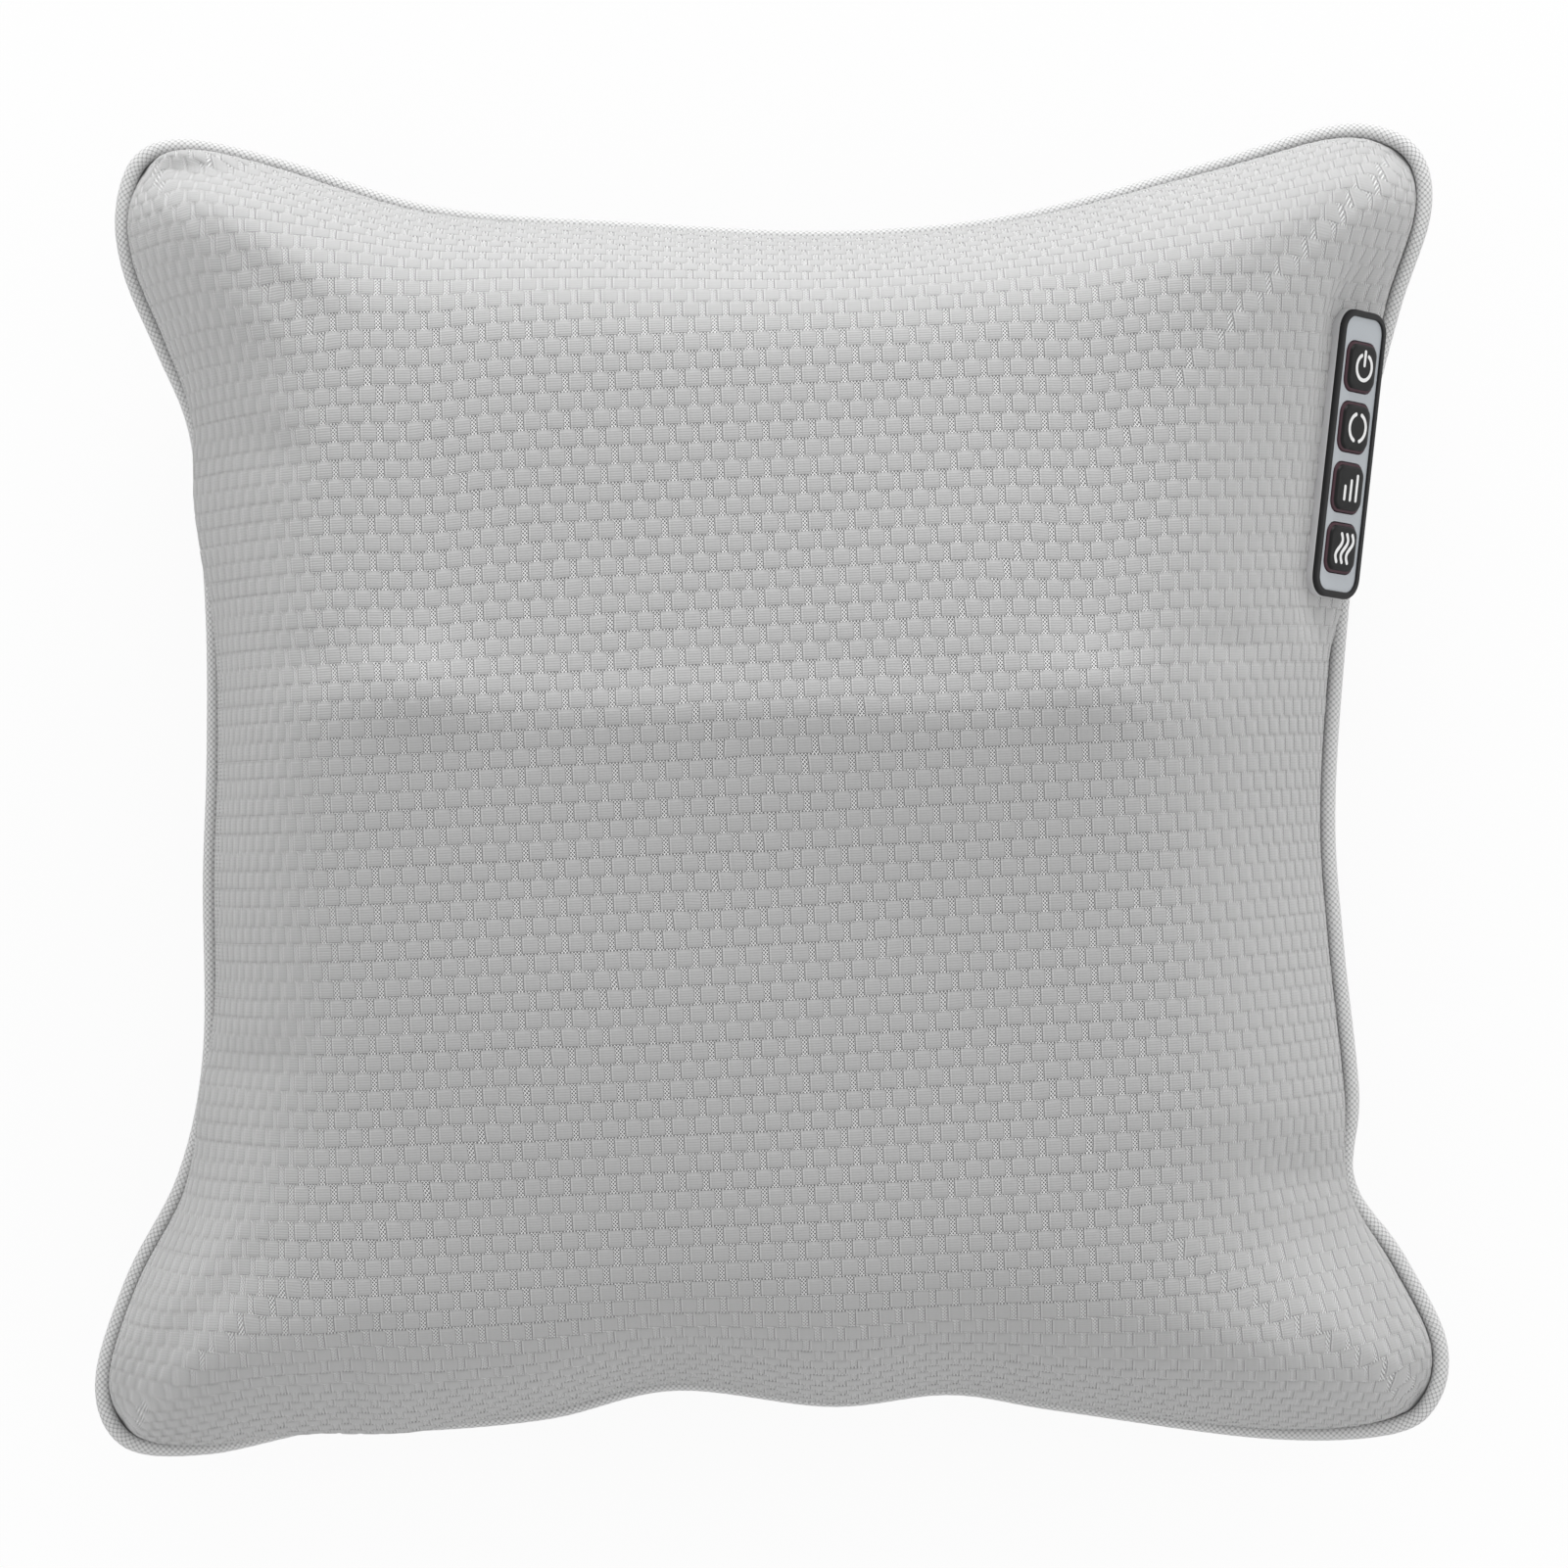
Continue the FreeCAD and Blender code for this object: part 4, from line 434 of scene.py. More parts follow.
def lay_cloth(height_across, height_up, cell_u, cell_v, marks_u, marks_v, slant):
    """Lays a lattice of cloth so that its cells keep their size along the surface, running down the
    left and right walls in one direction and the top and bottom walls in the other, and easing at the
    lobes. Marks are where the lattice lines run in a cell. Gives plan places, and lines in cells."""
    lobe_ease, lobe_spread = 0.62, 30
    ease = 1 - lobe_ease * sum(hump(x, y, lobe_spread, lobe_spread) for x, y in lobes)

    def run(height, axis):
        weight = ease[:, 1:] if axis else ease[1:]
        walked = np.cumsum(np.hypot(grid_step, np.diff(height, axis=axis) * weight), axis=axis)
        zero = np.zeros((walked.shape[0], 1) if axis else (1, walked.shape[1]))
        return np.concatenate([zero, walked], axis=axis)

    mid_x, mid_y = np.argmin(abs(xs)), np.argmin(abs(ys))
    u, v = run(height_across, 1), run(height_up, 0)
    u = (u - u[:, mid_x:mid_x + 1] + slant * plan_y) / cell_u
    v = (v - v[mid_y:mid_y + 1, :] - slant * plan_x) / cell_v
    us = (np.arange(math.floor(u.min()), math.ceil(u.max()))[:, None] + np.array(marks_u)).ravel()
    vs = (np.arange(math.floor(v.min()), math.ceil(v.max()))[:, None] + np.array(marks_v)).ravel()
    x_at = np.stack([np.interp(us, u[j], xs) for j in range(len(ys))])
    y_at = np.stack([np.interp(vs, v[:, i], ys) for i in range(len(xs))])
    first_share, rounds = 0.8, 24
    x = np.tile(us * cell_u * first_share, (len(vs), 1))
    y = np.tile((vs * cell_v * first_share)[:, None], (1, len(us)))
    columns, rows = np.arange(len(us))[None, :], np.arange(len(vs))[:, None]
    for _ in range(rounds):
        j, b = grid_place(y, ys)
        new_x = x_at[j, columns] * (1 - b) + x_at[j + 1, columns] * b
        i, a = grid_place(new_x, xs)
        new_y = y_at[i, rows] * (1 - a) + y_at[i + 1, rows] * a
        x, y = 0.5 * (x + new_x), 0.5 * (y + new_y)
    return x, y, us, vs


def in_reach(reach_in):
    """Which cells of a lattice have all four corners on the cover, or tucked in behind its seam."""
    tuck_in = -2.6
    held = reach_in > tuck_in
    return held[:-1, :-1] & held[1:, 1:] & held[:-1, 1:] & held[1:, :-1]


def from_zero(values):
    """Values spread over 0 to 1."""
    return (values - values.min()) / np.ptp(values)


def add_piece(name, mesh):
    piece = bpy.data.objects.new(name, mesh)
    bpy.context.collection.objects.link(piece)
    return piece


def sheet_mesh(name, points, keep, maps):
    """A mesh from a lattice of points (millimetres); keep says which cells stay, maps its UV maps."""
    rows, columns = points.shape[:2]
    index = np.arange(rows * columns).reshape(rows, columns)
    corners = np.stack([index[:-1, :-1], index[:-1, 1:], index[1:, 1:], index[1:, :-1]], -1)[keep]
    used, flat = np.unique(corners, return_inverse=True)
    flat = flat.ravel()
    mesh = bpy.data.meshes.new(name)
    mesh.vertices.add(len(used))
    mesh.vertices.foreach_set("co", (points.reshape(-1, 3)[used] * MM).astype(np.float32).ravel())
    mesh.loops.add(len(flat))
    mesh.loops.foreach_set("vertex_index", flat.astype(np.int32))
    mesh.polygons.add(len(corners))
    mesh.polygons.foreach_set("loop_start", np.arange(0, len(flat), 4, dtype=np.int32))
    mesh.polygons.foreach_set("use_smooth", np.ones(len(corners), bool))
    for map_name, (a, b) in maps.items():
        layer = mesh.uv_layers.new(name=map_name)
        both = np.stack([a.ravel()[used][flat], b.ravel()[used][flat]], 1)
        layer.uv.foreach_set("vector", both.astype(np.float32).ravel())
    mesh.update(calc_edges=True)
    mesh.validate()
    return add_piece(name, mesh)


def lattice_normals(points):
    """Unit normals at the points of a lattice, pointing out of the cloth."""
    across = np.gradient(points, axis=1)
    up = np.gradient(points, axis=0)
    normal = np.cross(across, up)
    return normal / np.linalg.norm(normal, axis=2)[:, :, None].clip(1e-9)


def wave_of_seam(x, y):
    """How far the seam rises and falls round the cushion, in millimetres."""
    return np.sin(x / 31) * np.sin(y / 27)


seam_wave = wave_of_seam(plan_x, plan_y)

# ------------------------------------------------------------------ control pad's seat
# The pad sits on the right side near the top, leaning with the side and tipped outwards. The front
# cover is pressed flat under it. Everything of the pad is made lying down and then set on this seat.

pad_seat = np.array([141.6, 84.0, 54.0])
pad_lean = math.radians(-6.3)
pad_tilt = math.radians(50.0)
pad_width, pad_length, pad_corner, pad_height = 19.4, 72.0, 5.5, 4.0
lean = np.array([[math.cos(pad_lean), -math.sin(pad_lean), 0],
                 [math.sin(pad_lean), math.cos(pad_lean), 0],
                 [0, 0, 1]])
tilt = np.array([[math.cos(pad_tilt), 0, math.sin(pad_tilt)],
                 [0, 1, 0],
                 [-math.sin(pad_tilt), 0, math.cos(pad_tilt)]])
pad_turn = lean @ tilt


def rounded_gap(x, y, width, length, corner):
    """Distance outside a rounded rectangle, negative inside."""
    dx, dy = abs(x) - width / 2 + corner, abs(y) - length / 2 + corner
    return np.hypot(dx.clip(0), dy.clip(0)) + np.minimum(np.maximum(dx, dy), 0) - corner


def pad_side_of(points):
    """Points as the pad has them, lying down, and their distance outside the pad's outline."""
    local = (points - pad_seat) @ pad_turn
    return local, rounded_gap(local[..., 0], local[..., 1], pad_width, pad_length, pad_corner)


def press_under_pad(points, looseness):
    """Moves cloth near the pad to its seat, softly out to press_reach, but not where the seam holds it."""
    press_reach, seat_rise, room_above = 16.0, 0.7, 30
    local, gap = pad_side_of(points)
    near = 1 - (gap / press_reach).clip(0, 1)
    near = near * near * (3 - 2 * near) * (abs(local[..., 2]) < room_above) * looseness.clip(0, 1)
    local[..., 2] = local[..., 2] * (1 - near) + seat_rise * near
    return local @ pad_turn.T + pad_seat


# ------------------------------------------------------------------ front cover
# Puffed jacquard polyester over thin wadding, sewn to the piping. A crest runs across it where the
# drive pushes it up, with a peak at each end; tucks run in from the lobes. It is cut out under the pad.

crest_y = 18.5
front_rise, side_fall, crest_fall = 82.0, 0.06, 0.2
half_wide, above_crest, below_crest = 137.6, 118.1, 166.5
front_top, front_bottom = (above_crest, 14), (below_crest, 19)
front_left, front_right = (half_wide, 11), (half_wide, 6)
share = rise_share(front_top, front_right, front_bottom, front_left)
over_crest = soft_abs(plan_y - crest_y, 5.0)
roof = np.where(plan_y > crest_y, over_crest / above_crest, over_crest / below_crest)
height = front_rise * (1 - side_fall * soft_abs(plan_x, 20.0) / half_wide) * (1 - crest_fall * roof)
front_z = seam_z + seam_wave + height * share
# Low swells and hollows of the wadding: the place, the reach both ways, and the height.
swells = [(-84, 25, 15, 10, 3.0), (76, 26, 15, 10, 3.0), (-4, 20, 80, 7, 1.0), (112, 36, 9, 5, -1.6),
          (-112, 32, 10, 7, -1.0), (-5, -20, 90, 24, -1.4), (-118, 20, 12, 40, 1.6), (60, 84, 40, 30, -0.8),
          (-70, 88, 45, 26, 0.8), (40, -100, 60, 30, 0.9), (-60, -110, 40, 26, -0.7)]
for x, y, wide, high, rise in swells:
    front_z += rise * hump(x, y, wide, high) * share


def tuck(x, y, bearing, length, wide, deep, bow=0.0, ridge=0.55):
    """A fold in the cloth from a point: a groove with a ridge beside it, fading along its length."""
    lead = 0.15
    ax, ay = math.cos(math.radians(bearing)), math.sin(math.radians(bearing))
    along = ((plan_x - x) * ax + (plan_y - y) * ay) / length
    side = (-(plan_x - x) * ay + (plan_y - y) * ax - bow * along * (1 - along)) / wide
    fade = np.sin(math.pi * (along + lead).clip(0, 1 + lead) / (1 + lead))
    fade = np.where((along > -lead) & (along < 1), fade, 0)
    return deep * fade * (ridge * np.exp(-(side - 1.5) ** 2) - np.exp(-side ** 2))


# The tucks: where each starts, its bearing in degrees, length, width and depth; for some also how far
# they bow, and how many depths the ridge beside them stands up.
folds = [(-178, 153.2, -1.5, 84, 3.4, 2.8, 0, 7.5), (-150, 140, -32, 60, 6.0, 1.2),
         (150, 154, 200, 70, 6.0, 1.4, -6), (158, 146, 236, 46, 5.0, 1.5), (-158, -148, 46, 60, 5.0, 2.0),
         (-150, -156, 22, 70, 6.0, 1.5), (160, -146, 128, 52, 5.0, 1.8), (150, -156, 165, 66, 6.0, 1.6),
         (-146, -70, 10, 38, 6.0, 1.6), (-146, 92, -20, 40, 6.0, 1.6), (146, -98, 170, 34, 5.0, 1.6),
         (-105, -158, 78, 34, 6.0, 1.4)]
for fold in folds:
    front_z += tuck(*fold) * share.clip(0, 0.5) * 2

# Above the seam the walls stand out past it, most of all beside the lobes.
bulge, widest_share = 2.4, 0.22
for x, y, wide, high, out in ((-146, 70, 30, 26, 4.5), (-146, -76, 20, 16, 3.5), (146, -98, 16, 14, 3.5),
                              (-103, -160, 26, 20, 4.0), (30, -152, 60, 16, 2.0), (0, 142, 100, 16, 1.5)):
    bulge = bulge + out * hump(x, y, wide, high)
puff_out = bulge * (share / widest_share) * np.exp(1 - share / widest_share)
front_points = np.stack([plan_x + out_x * puff_out, plan_y + out_y * puff_out, front_z], -1)
seam_share = 0.11
front_points = press_under_pad(front_points, share / seam_share)

cell_wide, cell_high, slant = 5.6, 4.5, 0.045
marks_wide = (0.09, 0.14, 0.36, 0.41, 0.59, 0.64, 0.86, 0.91)
marks_high = (0, 0.08, 0.36, 0.64, 0.92)
sides_only = rise_share(None, front_right, None, front_left)
ends_only = rise_share(front_top, None, front_bottom, None)
lay_x, lay_y, us, vs = lay_cloth(front_z + height * (sides_only - share),
                                 front_z + height * (ends_only - share),
                                 cell_wide, cell_high, marks_wide, marks_high, slant)
cloth = sample_all(front_points, lay_x, lay_y)
reach_in = sample(depth_in, lay_x, lay_y)
cell_u = np.tile(us, (len(vs), 1))
cell_v = np.tile(vs[:, None], (1, len(us)))


puff_half_wide = 0.25


def puff(u, v):
    """Height of the puffed cells, 0 in the threads between them and 1 on top; each row is set off by
    half a cell from the next."""
    puff_half_high, thread_gap, shoulder, roundness = 0.32, 0.86, 5, 0.7
    row = np.floor(v + 0.001)
    past_side = abs((u + 0.5 * (row % 2)) % 1 - 0.5) - puff_half_wide
    past_end = abs(v - row - 0.5) - puff_half_high
    corner = np.hypot(past_side.clip(0) * cell_wide, past_end.clip(0) * cell_high * 0.9)
    return (1 - (corner / thread_gap) ** shoulder).clip(0) ** roundness


puff_height, seam_fade, unevenness, draw_count = 0.34, 3.0, 0.08, 400
draws = np.random.default_rng(7)
uneven = draws.normal(1.0, unevenness, (draw_count, draw_count))
cell_row, cell_column = np.floor(cell_v).astype(int) % draw_count, np.floor(cell_u).astype(int) % draw_count
lift = puff(cell_u, cell_v) * uneven[cell_row, cell_column]
relief = puff_height * lift * (reach_in / seam_fade).clip(0, 1)
cloth = cloth + lattice_normals(cloth) * relief[..., None]
under_rim, cut_depth = 2.5, 12
local, past_pad = pad_side_of(cloth)
keep = in_reach(reach_in)
keep &= (past_pad[:-1, :-1] > -under_rim) | (abs(local[:-1, :-1, 2]) > cut_depth)
# The map edge carries how far in from the seam each point lies, for the painted seam shade.
front = sheet_mesh("front_cover_fabric", cloth, keep,
                   {"cells": (cell_u, cell_v), "edge": (reach_in, cell_v),
                    "OFBake": (from_zero(cell_u), from_zero(cell_v))})


def map_values(start, map_name):
    """The two values of one of the cloth's maps."""
    both = start.node("ShaderNodeUVMap", {"uv_map": map_name})
    parts = start.node("ShaderNodeSeparateXYZ", None, {0: both})
    return parts, Strand(start.tree, parts.socket.node.outputs[1])


# The puffs are ribbed satin; between them white and dark threads cross in small zigzags. Painted light on
# each puff: shade and a highlight at its left, a shaded outline, and the shadow of the row above it.
full_turn = 2 * math.pi
jacquard, start = new_finish("puffed_jacquard")
u, v = map_values(start, "cells")
odd = v.math("FLOOR").math("FLOORED_MODULO", 2.0)
a = (u + odd * 0.5).math("FRACT")
b = v.math("FRACT")
past_side = ((abs(a - 0.5) - puff_half_wide) * cell_wide).math("MAXIMUM", 0.0)
past_end = ((abs(b - 0.47) - 0.33) * cell_high).math("MAXIMUM", 0.0)
corner = (past_side * past_side + past_end * past_end) ** 0.5
thread_zone = corner.above(0.56, 0.66)
# Painted shade: a dark ring round each puff, where its edge drops into the threads.
painted_outline_shade = corner.above(0.42, 0.56) * (1 - corner.above(0.66, 0.80))
# Painted shadow of the row above, along the bottom of each cell.
painted_row_shadow = 1 - b.above(0.01, 0.07)
shade_line = a.above(0.105, 0.13) * (1 - a.above(0.15, 0.17))
lit_line = a.above(0.165, 0.185) * (1 - a.above(0.22, 0.25)) * (1 - thread_zone)
rib_count, zigzags_wide, zigzags_high = 7, 3.5, 2.4
ribs = (b * (full_turn * rib_count)).math("SINE")
across, up = u * (full_turn * zigzags_wide), v * (full_turn * zigzags_high)
zigzag = abs((across + up).math("SINE")).math("MAXIMUM", abs((across - up).math("SINE")))
glint = zigzag.above(0.872, 0.968)
place = place_of(start)
fibre = start.noise(place, 2600.0, 3.0, 0.7)
cloudy = start.noise(place, 14.0, 2.0)
tone = cloudy.blend(grey(0.45), grey(0.48))
tone = (fibre * 0.35).blend(tone, grey(0.36))
tone = (thread_zone * 0.95).blend(tone, glint.blend(grey(0.165), grey(0.93)))
# Painted shade round each puff.
tone = (painted_outline_shade * 0.34).blend(tone, grey(0.19))
tone = (shade_line * 0.50).blend(tone, grey(0.14))
tone = (lit_line * 0.45).blend(tone, grey(0.66))
# Painted shadow along the bottom of each row, weaker in the threads.
tone = (painted_row_shadow * (1 - thread_zone * 0.8) * 0.45).blend(tone, grey(0.16))
# Painted shade: the cloth darkens to near black as it runs down into the seam and behind it.
seam_shade_reach, _ = map_values(start, "edge")
tone = (seam_shade_reach.above(0.1, 1.3) * 0.9 + 0.1).blend(grey(0.05), tone)
weave = ribs * (1 - thread_zone) * 0.25 + zigzag * thread_zone * 0.8 + fibre * 0.5
principled(start, {"Base Color": tone,
                   "Roughness": 0.82 - glint * thread_zone * 0.35,
                   "Sheen Weight": 0.25,
                   "Sheen Roughness": 0.5,
                   "Specular IOR Level": 0.35,
                   "Normal": weave.bump(0.00012, 0.8)})
front.data.materials.append(jacquard)
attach(front, "cushion")
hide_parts("front_cover")

# ------------------------------------------------------------------ back cover
# Plain dense polyester canvas, a shallow bowl with a flat floor, sewn to the piping. It has a slot for
# the zip across its lower part and a hole for the power inlet in its right side.

back_drop, floor_soft = 44.0, 3.0


def bowl(share):
    """Height of the back for a share of its depth, with a soft turn into the flat floor."""
    floor_lift = 0.02
    sunk = seam_z + seam_wave - back_drop * share
    soft_floor = 0.5 * (sunk + np.sqrt(sunk ** 2 + floor_soft ** 2)) - floor_lift
    return np.where(sunk > 4 * floor_soft, sunk, soft_floor).clip(0)


back_top, back_side, back_bottom = (136.6, 8), (half_wide, 8), (148.0, 8)
back_share = rise_share(back_top, back_side, back_bottom, back_side)
ripple = 0.5 * np.sin(plan_x / 7 + 3 * np.sin(plan_y / 40)) * np.sin(plan_y / 8 + 2 * np.sin(plan_x / 33))
puff_back = (1.2 + ripple) * (back_share * (1 - back_share) * 4).clip(0, 1)
back_points = np.stack([plan_x + out_x * puff_back, plan_y + out_y * puff_back, bowl(back_share)], -1)
zip_y, zip_half, zip_slot = -85.0, 75.0, 3.5
lay_wide, lay_high = 2.5, zip_slot / 1.5
lay_x, lay_y, us, vs = lay_cloth(bowl(rise_share(None, back_side, None, back_side)),
                                 bowl(rise_share(back_top, None, back_bottom, None)),
                                 lay_wide, lay_high, (0,), (0,), 0.0)
cloth = sample_all(back_points, lay_x, lay_y)
reach_in = sample(depth_in, lay_x, lay_y)
mid = 0.25 * (cloth[:-1, :-1] + cloth[1:, 1:] + cloth[:-1, 1:] + cloth[1:, :-1])
in_slot = (abs(mid[..., 0]) < zip_half) & (abs(mid[..., 1] - zip_y) < zip_slot)
inlet_y, inlet_z, inlet_hole, right_wall = 40.0, 26.0, 8.0, 100
at_inlet = (mid[..., 0] > right_wall) & (np.hypot(mid[..., 1] - inlet_y, mid[..., 2] - inlet_z) < inlet_hole)
keep = in_reach(reach_in) & ~in_slot & ~at_inlet
thread_u, thread_v = np.meshgrid(us * lay_wide, vs * lay_high)
# The lattice is turned left to right here, so that its faces look down and out.
back = sheet_mesh("back_cover_fabric", cloth[:, ::-1], keep[:, ::-1],
                  {"threads": (thread_u[:, ::-1], thread_v[:, ::-1]),
                   "OFBake": (from_zero(thread_u)[:, ::-1], from_zero(thread_v)[:, ::-1])})


def canvas(name, colour, pitch, depth, gap_tone=0.62):
    """Plain weave: crossing threads over and under, pitch to a thread, from the map "threads"."""
    material, start = new_finish(name)
    u, v = map_values(start, "threads")
    along = (u * (math.pi / pitch)).math("SINE")
    across = (v * (math.pi / pitch)).math("SINE")
    over = abs(along) - abs(across)
    check = along * across
    place = place_of(start)
    fibre = start.noise(place, 1800.0, 3.0, 0.7)
    slub = start.noise(place, 35.0, 3.0)
    weave = abs(over) * 0.6 + check.above(-0.2, 0.2) * 0.4
    tone = (1 - weave.above(0.05, 0.6)).blend(part_of(colour), part_of(colour, gap_tone))
    tone = (slub * 0.3).blend(tone, part_of(colour, 0.8))
    tone = (fibre * 0.3).blend(tone, part_of(colour, 0.7))
    principled(start, {"Base Color": tone,
                       "Roughness": 0.85,
                       "Sheen Weight": 0.2,
                       "Sheen Roughness": 0.5,
                       "Specular IOR Level": 0.3,
                       "Normal": (weave + fibre * 0.5).bump(depth, 0.8)})
    return material


back.data.materials.append(canvas("back_canvas", (0.34, 0.34, 0.34), 0.55, 0.0001))
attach(back, "cushion")
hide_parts("back_cover")

# ------------------------------------------------------------------ piping
# A soft cord wrapped in light canvas cut on the bias and sewn into the seam all the way round. The
# wrapping is drawn tight and puckers a little along the cord.


def tube_mesh(name, path, radius, sides, pucker):
    """A closed round tube along a closed path in millimetres, with a map along and around it. For
    baking, the map is cut into rows of one length, one above the other."""
    ahead = np.roll(path, -1, 0) - np.roll(path, 1, 0)
    ahead /= np.linalg.norm(ahead, axis=1)[:, None]
    out = np.cross(ahead, (0, 0, 1.0))
    out /= np.linalg.norm(out, axis=1)[:, None]
    up = np.cross(out, ahead)
    run = np.concatenate([[0], np.cumsum(np.linalg.norm(np.diff(path, axis=0), axis=1))])
    turn = np.linspace(0, full_turn, sides + 1)
    wrinkle = 1 + pucker * np.sin(run[:, None] * 1.7 + 2 * turn[None] + 2 * np.sin(run[:, None] / 9))
    spoke = np.cos(turn)[None, :, None] * out[:, None] + np.sin(turn)[None, :, None] * up[:, None]
    points = path[:, None] + (radius * wrinkle)[..., None] * spoke
    points = np.concatenate([points, points[:1]])
    run = np.append(run, run[-1] + np.linalg.norm(path[0] - path[-1]))
    u, v = np.meshgrid(run, turn * radius, indexing="ij")
    row_length, row_count = 170, 9
    bake_v = np.floor(u / row_length) / row_count + v / v.max() / (row_count + 0.5)
    return sheet_mesh(name, points, np.ones((len(points) - 1, sides), bool),
                      {"threads": (u, v), "OFBake": ((u % row_length) / row_length, bake_v)})


def welded(piece):
    """The piece with its two ends joined, all faces looking out."""
    gap = 0.00002
    shape = bmesh.new()
    shape.from_mesh(piece.data)
    bmesh.ops.remove_doubles(shape, verts=shape.verts, dist=gap)
    bmesh.ops.recalc_face_normals(shape, faces=shape.faces)
    shape.to_mesh(piece.data)
    shape.free()
    return piece


piping_step, piping_sides, piping_pucker = 1.1, 16, 0.012
fine_line = even_loop(piping_line[::3], piping_step)
piping_z = seam_z + wave_of_seam(fine_line[:, 0], fine_line[:, 1])
piping = welded(tube_mesh("seam_piping_cord", np.column_stack([fine_line, piping_z]), piping_radius,
                          piping_sides, piping_pucker))
piping.data.materials.append(canvas("bias_canvas", (0.84, 0.84, 0.84), 0.75, 0.00022, 0.42))
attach(piping, "cushion")
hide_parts("seam_piping")

# ------------------------------------------------------------------ control pad
# Cool-grey moulded bezel with a raised black rim line round a flat face and a window for each key.
# It stands a little over 3 mm proud of the cloth, and a frame behind the cloth clamps it.


def rounded_ring(width, length, corner, height, middle_y=0.0):
    """Points round a rounded rectangle at one height, anticlockwise."""
    steps = 7
    points = []
    for side_x, side_y, first in ((1, 1, 0), (-1, 1, 90), (-1, -1, 180), (1, -1, 270)):
        for step in range(steps + 1):
            angle = math.radians(first + 90 * step / steps)
            points.append((side_x * (width / 2 - corner) + corner * math.cos(angle),
                           middle_y + side_y * (length / 2 - corner) + corner * math.sin(angle), height))
    return points


def lofted(rings, tones):
    """A closed solid from rings, bottom to top; tones gives the material of each band and of the top."""
    count = len(rings[0])
    verts = [p for ring in rings for p in ring]
    faces = [tuple(reversed(range(count)))]
    face_tones = [tones[0]]
    for level in range(len(rings) - 1):
        low, high = level * count, (level + 1) * count
        for i in range(count):
            k = (i + 1) % count
            faces.append((low + i, low + k, high + k, high + i))
            face_tones.append(tones[level])
    faces.append(tuple(range((len(rings) - 1) * count, len(rings) * count)))
    face_tones.append(tones[-1])
    return verts, faces, face_tones


def solid_piece(name, parts, finishes, smooth_angle=None):
    """One piece from parts: points in millimetres, faces, and which finish each face has where there
    is more than one. Corners sharper than smooth_angle stay sharp, without it all of them."""
    verts, faces, tones = [], [], []
    for part_verts, part_faces, *part_tones in parts:
        faces += [tuple(i + len(verts) for i in face) for face in part_faces]
        verts += [tuple(np.array(p) * MM) for p in part_verts]
        tones += part_tones[0] if part_tones else [0] * len(part_faces)
    mesh = bpy.data.meshes.new(name)
    mesh.from_pydata(verts, [], faces)
    for finish in finishes:
        mesh.materials.append(finish)
    mesh.polygons.foreach_set("material_index", tones)
    if smooth_angle:
        mesh.shade_smooth()
        mesh.set_sharp_from_angle(angle=math.radians(smooth_angle))
    return add_piece(name, mesh)


def seat_piece(name, parts, finishes, smooth_angle):
    """The same from parts made lying down, set on the pad's seat."""
    seated = [([pad_turn @ np.array(p) + pad_seat for p in verts], faces, tones)
              for verts, faces, tones in parts]
    return solid_piece(name, seated, finishes, smooth_angle)


rim_width = 1.85
face_height = pad_height - 0.5
rim_top = pad_height + 0.1
key_size, key_corner, key_pitch, key_shift = 12.4, 3.0, 15.1, -0.8
key_names = ("power", "direction", "speed", "warmth")
key_rows = [key_shift + key_pitch * (1.5 - number) for number in range(4)]
pad_grey = moulded("pad_grey", (0.47, 0.50, 0.53), 0.42, 2200.0, 0.00003)
wall_grey = moulded("wall_grey", (0.66, 0.66, 0.67), 0.45, 2200.0, 0.00003)
rim_black = moulded("rim_black", (0.010, 0.010, 0.011), 0.5, 2200.0, 0.00002, 0.0, 0.3)
on_face, on_rim, on_wall = 0, 1, 2
bezel_steps = [(0.3, -0.6, on_wall), (0.0, 0.2, on_wall), (0.0, pad_height - 1.25, on_wall),
               (0.1, pad_height - 1.15, on_rim), (0.1, pad_height - 0.75, on_rim),
               (0.2, pad_height - 0.35, on_rim), (0.42, pad_height - 0.05, on_rim),
               (0.7, rim_top, on_rim), (rim_width - 0.25, rim_top, on_rim),
               (rim_width - 0.05, pad_height - 0.05, on_rim), (rim_width, face_height, on_face),
               (rim_width + 0.25, face_height, on_face), (rim_width + 0.6, face_height - 0.02, on_face)]
shell = lofted([rounded_ring(pad_width - 2 * inset, pad_length - 2 * inset, pad_corner - inset, height)
                for inset, height, _ in bezel_steps], [tone for _, _, tone in bezel_steps])
bezel = seat_piece("pad_bezel_shell", [shell], [pad_grey, rim_black, wall_grey], 50)
window_size, window_corner = key_size + 0.5, key_corner + 0.25
below_pad, over_pad = -2.0, 6.0
for row_y in key_rows:
    window = lofted([rounded_ring(window_size, window_size, window_corner, z, row_y)
                     for z in (below_pad, over_pad)], [on_face, on_face])
    prism = seat_piece("window_tool", [window], [pad_grey], 40)
    opening = bezel.modifiers.new("window", "BOOLEAN")
    opening.operation = "DIFFERENCE"
    opening.solver = "EXACT"
    opening.object = prism
    bpy.context.view_layer.objects.active = bezel
    bpy.ops.object.modifier_apply(modifier="window")
    bpy.data.objects.remove(prism)
bezel.data.shade_smooth()
bezel.data.set_sharp_from_angle(angle=math.radians(35))
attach(bezel, "cushion")
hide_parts("pad_bezel")

# ------------------------------------------------------------------ keys
# Four black silicone keys with softly domed tops, a dark plum foot that shows as a thin border, and
# white printed signs: power, turning direction, speed and warmth. They stand in the bezel's windows.

key_black = moulded("key_black", (0.007, 0.007, 0.0075), 0.42, 1600.0, 0.00003, 0.0, 0.22)
key_plum = moulded("key_plum", (0.055, 0.020, 0.030), 0.5, 1600.0, 0.00002, 0.0, 0.3)
print_white = moulded("print_white", (0.86, 0.86, 0.86), 0.5, 3000.0, 0.00001)


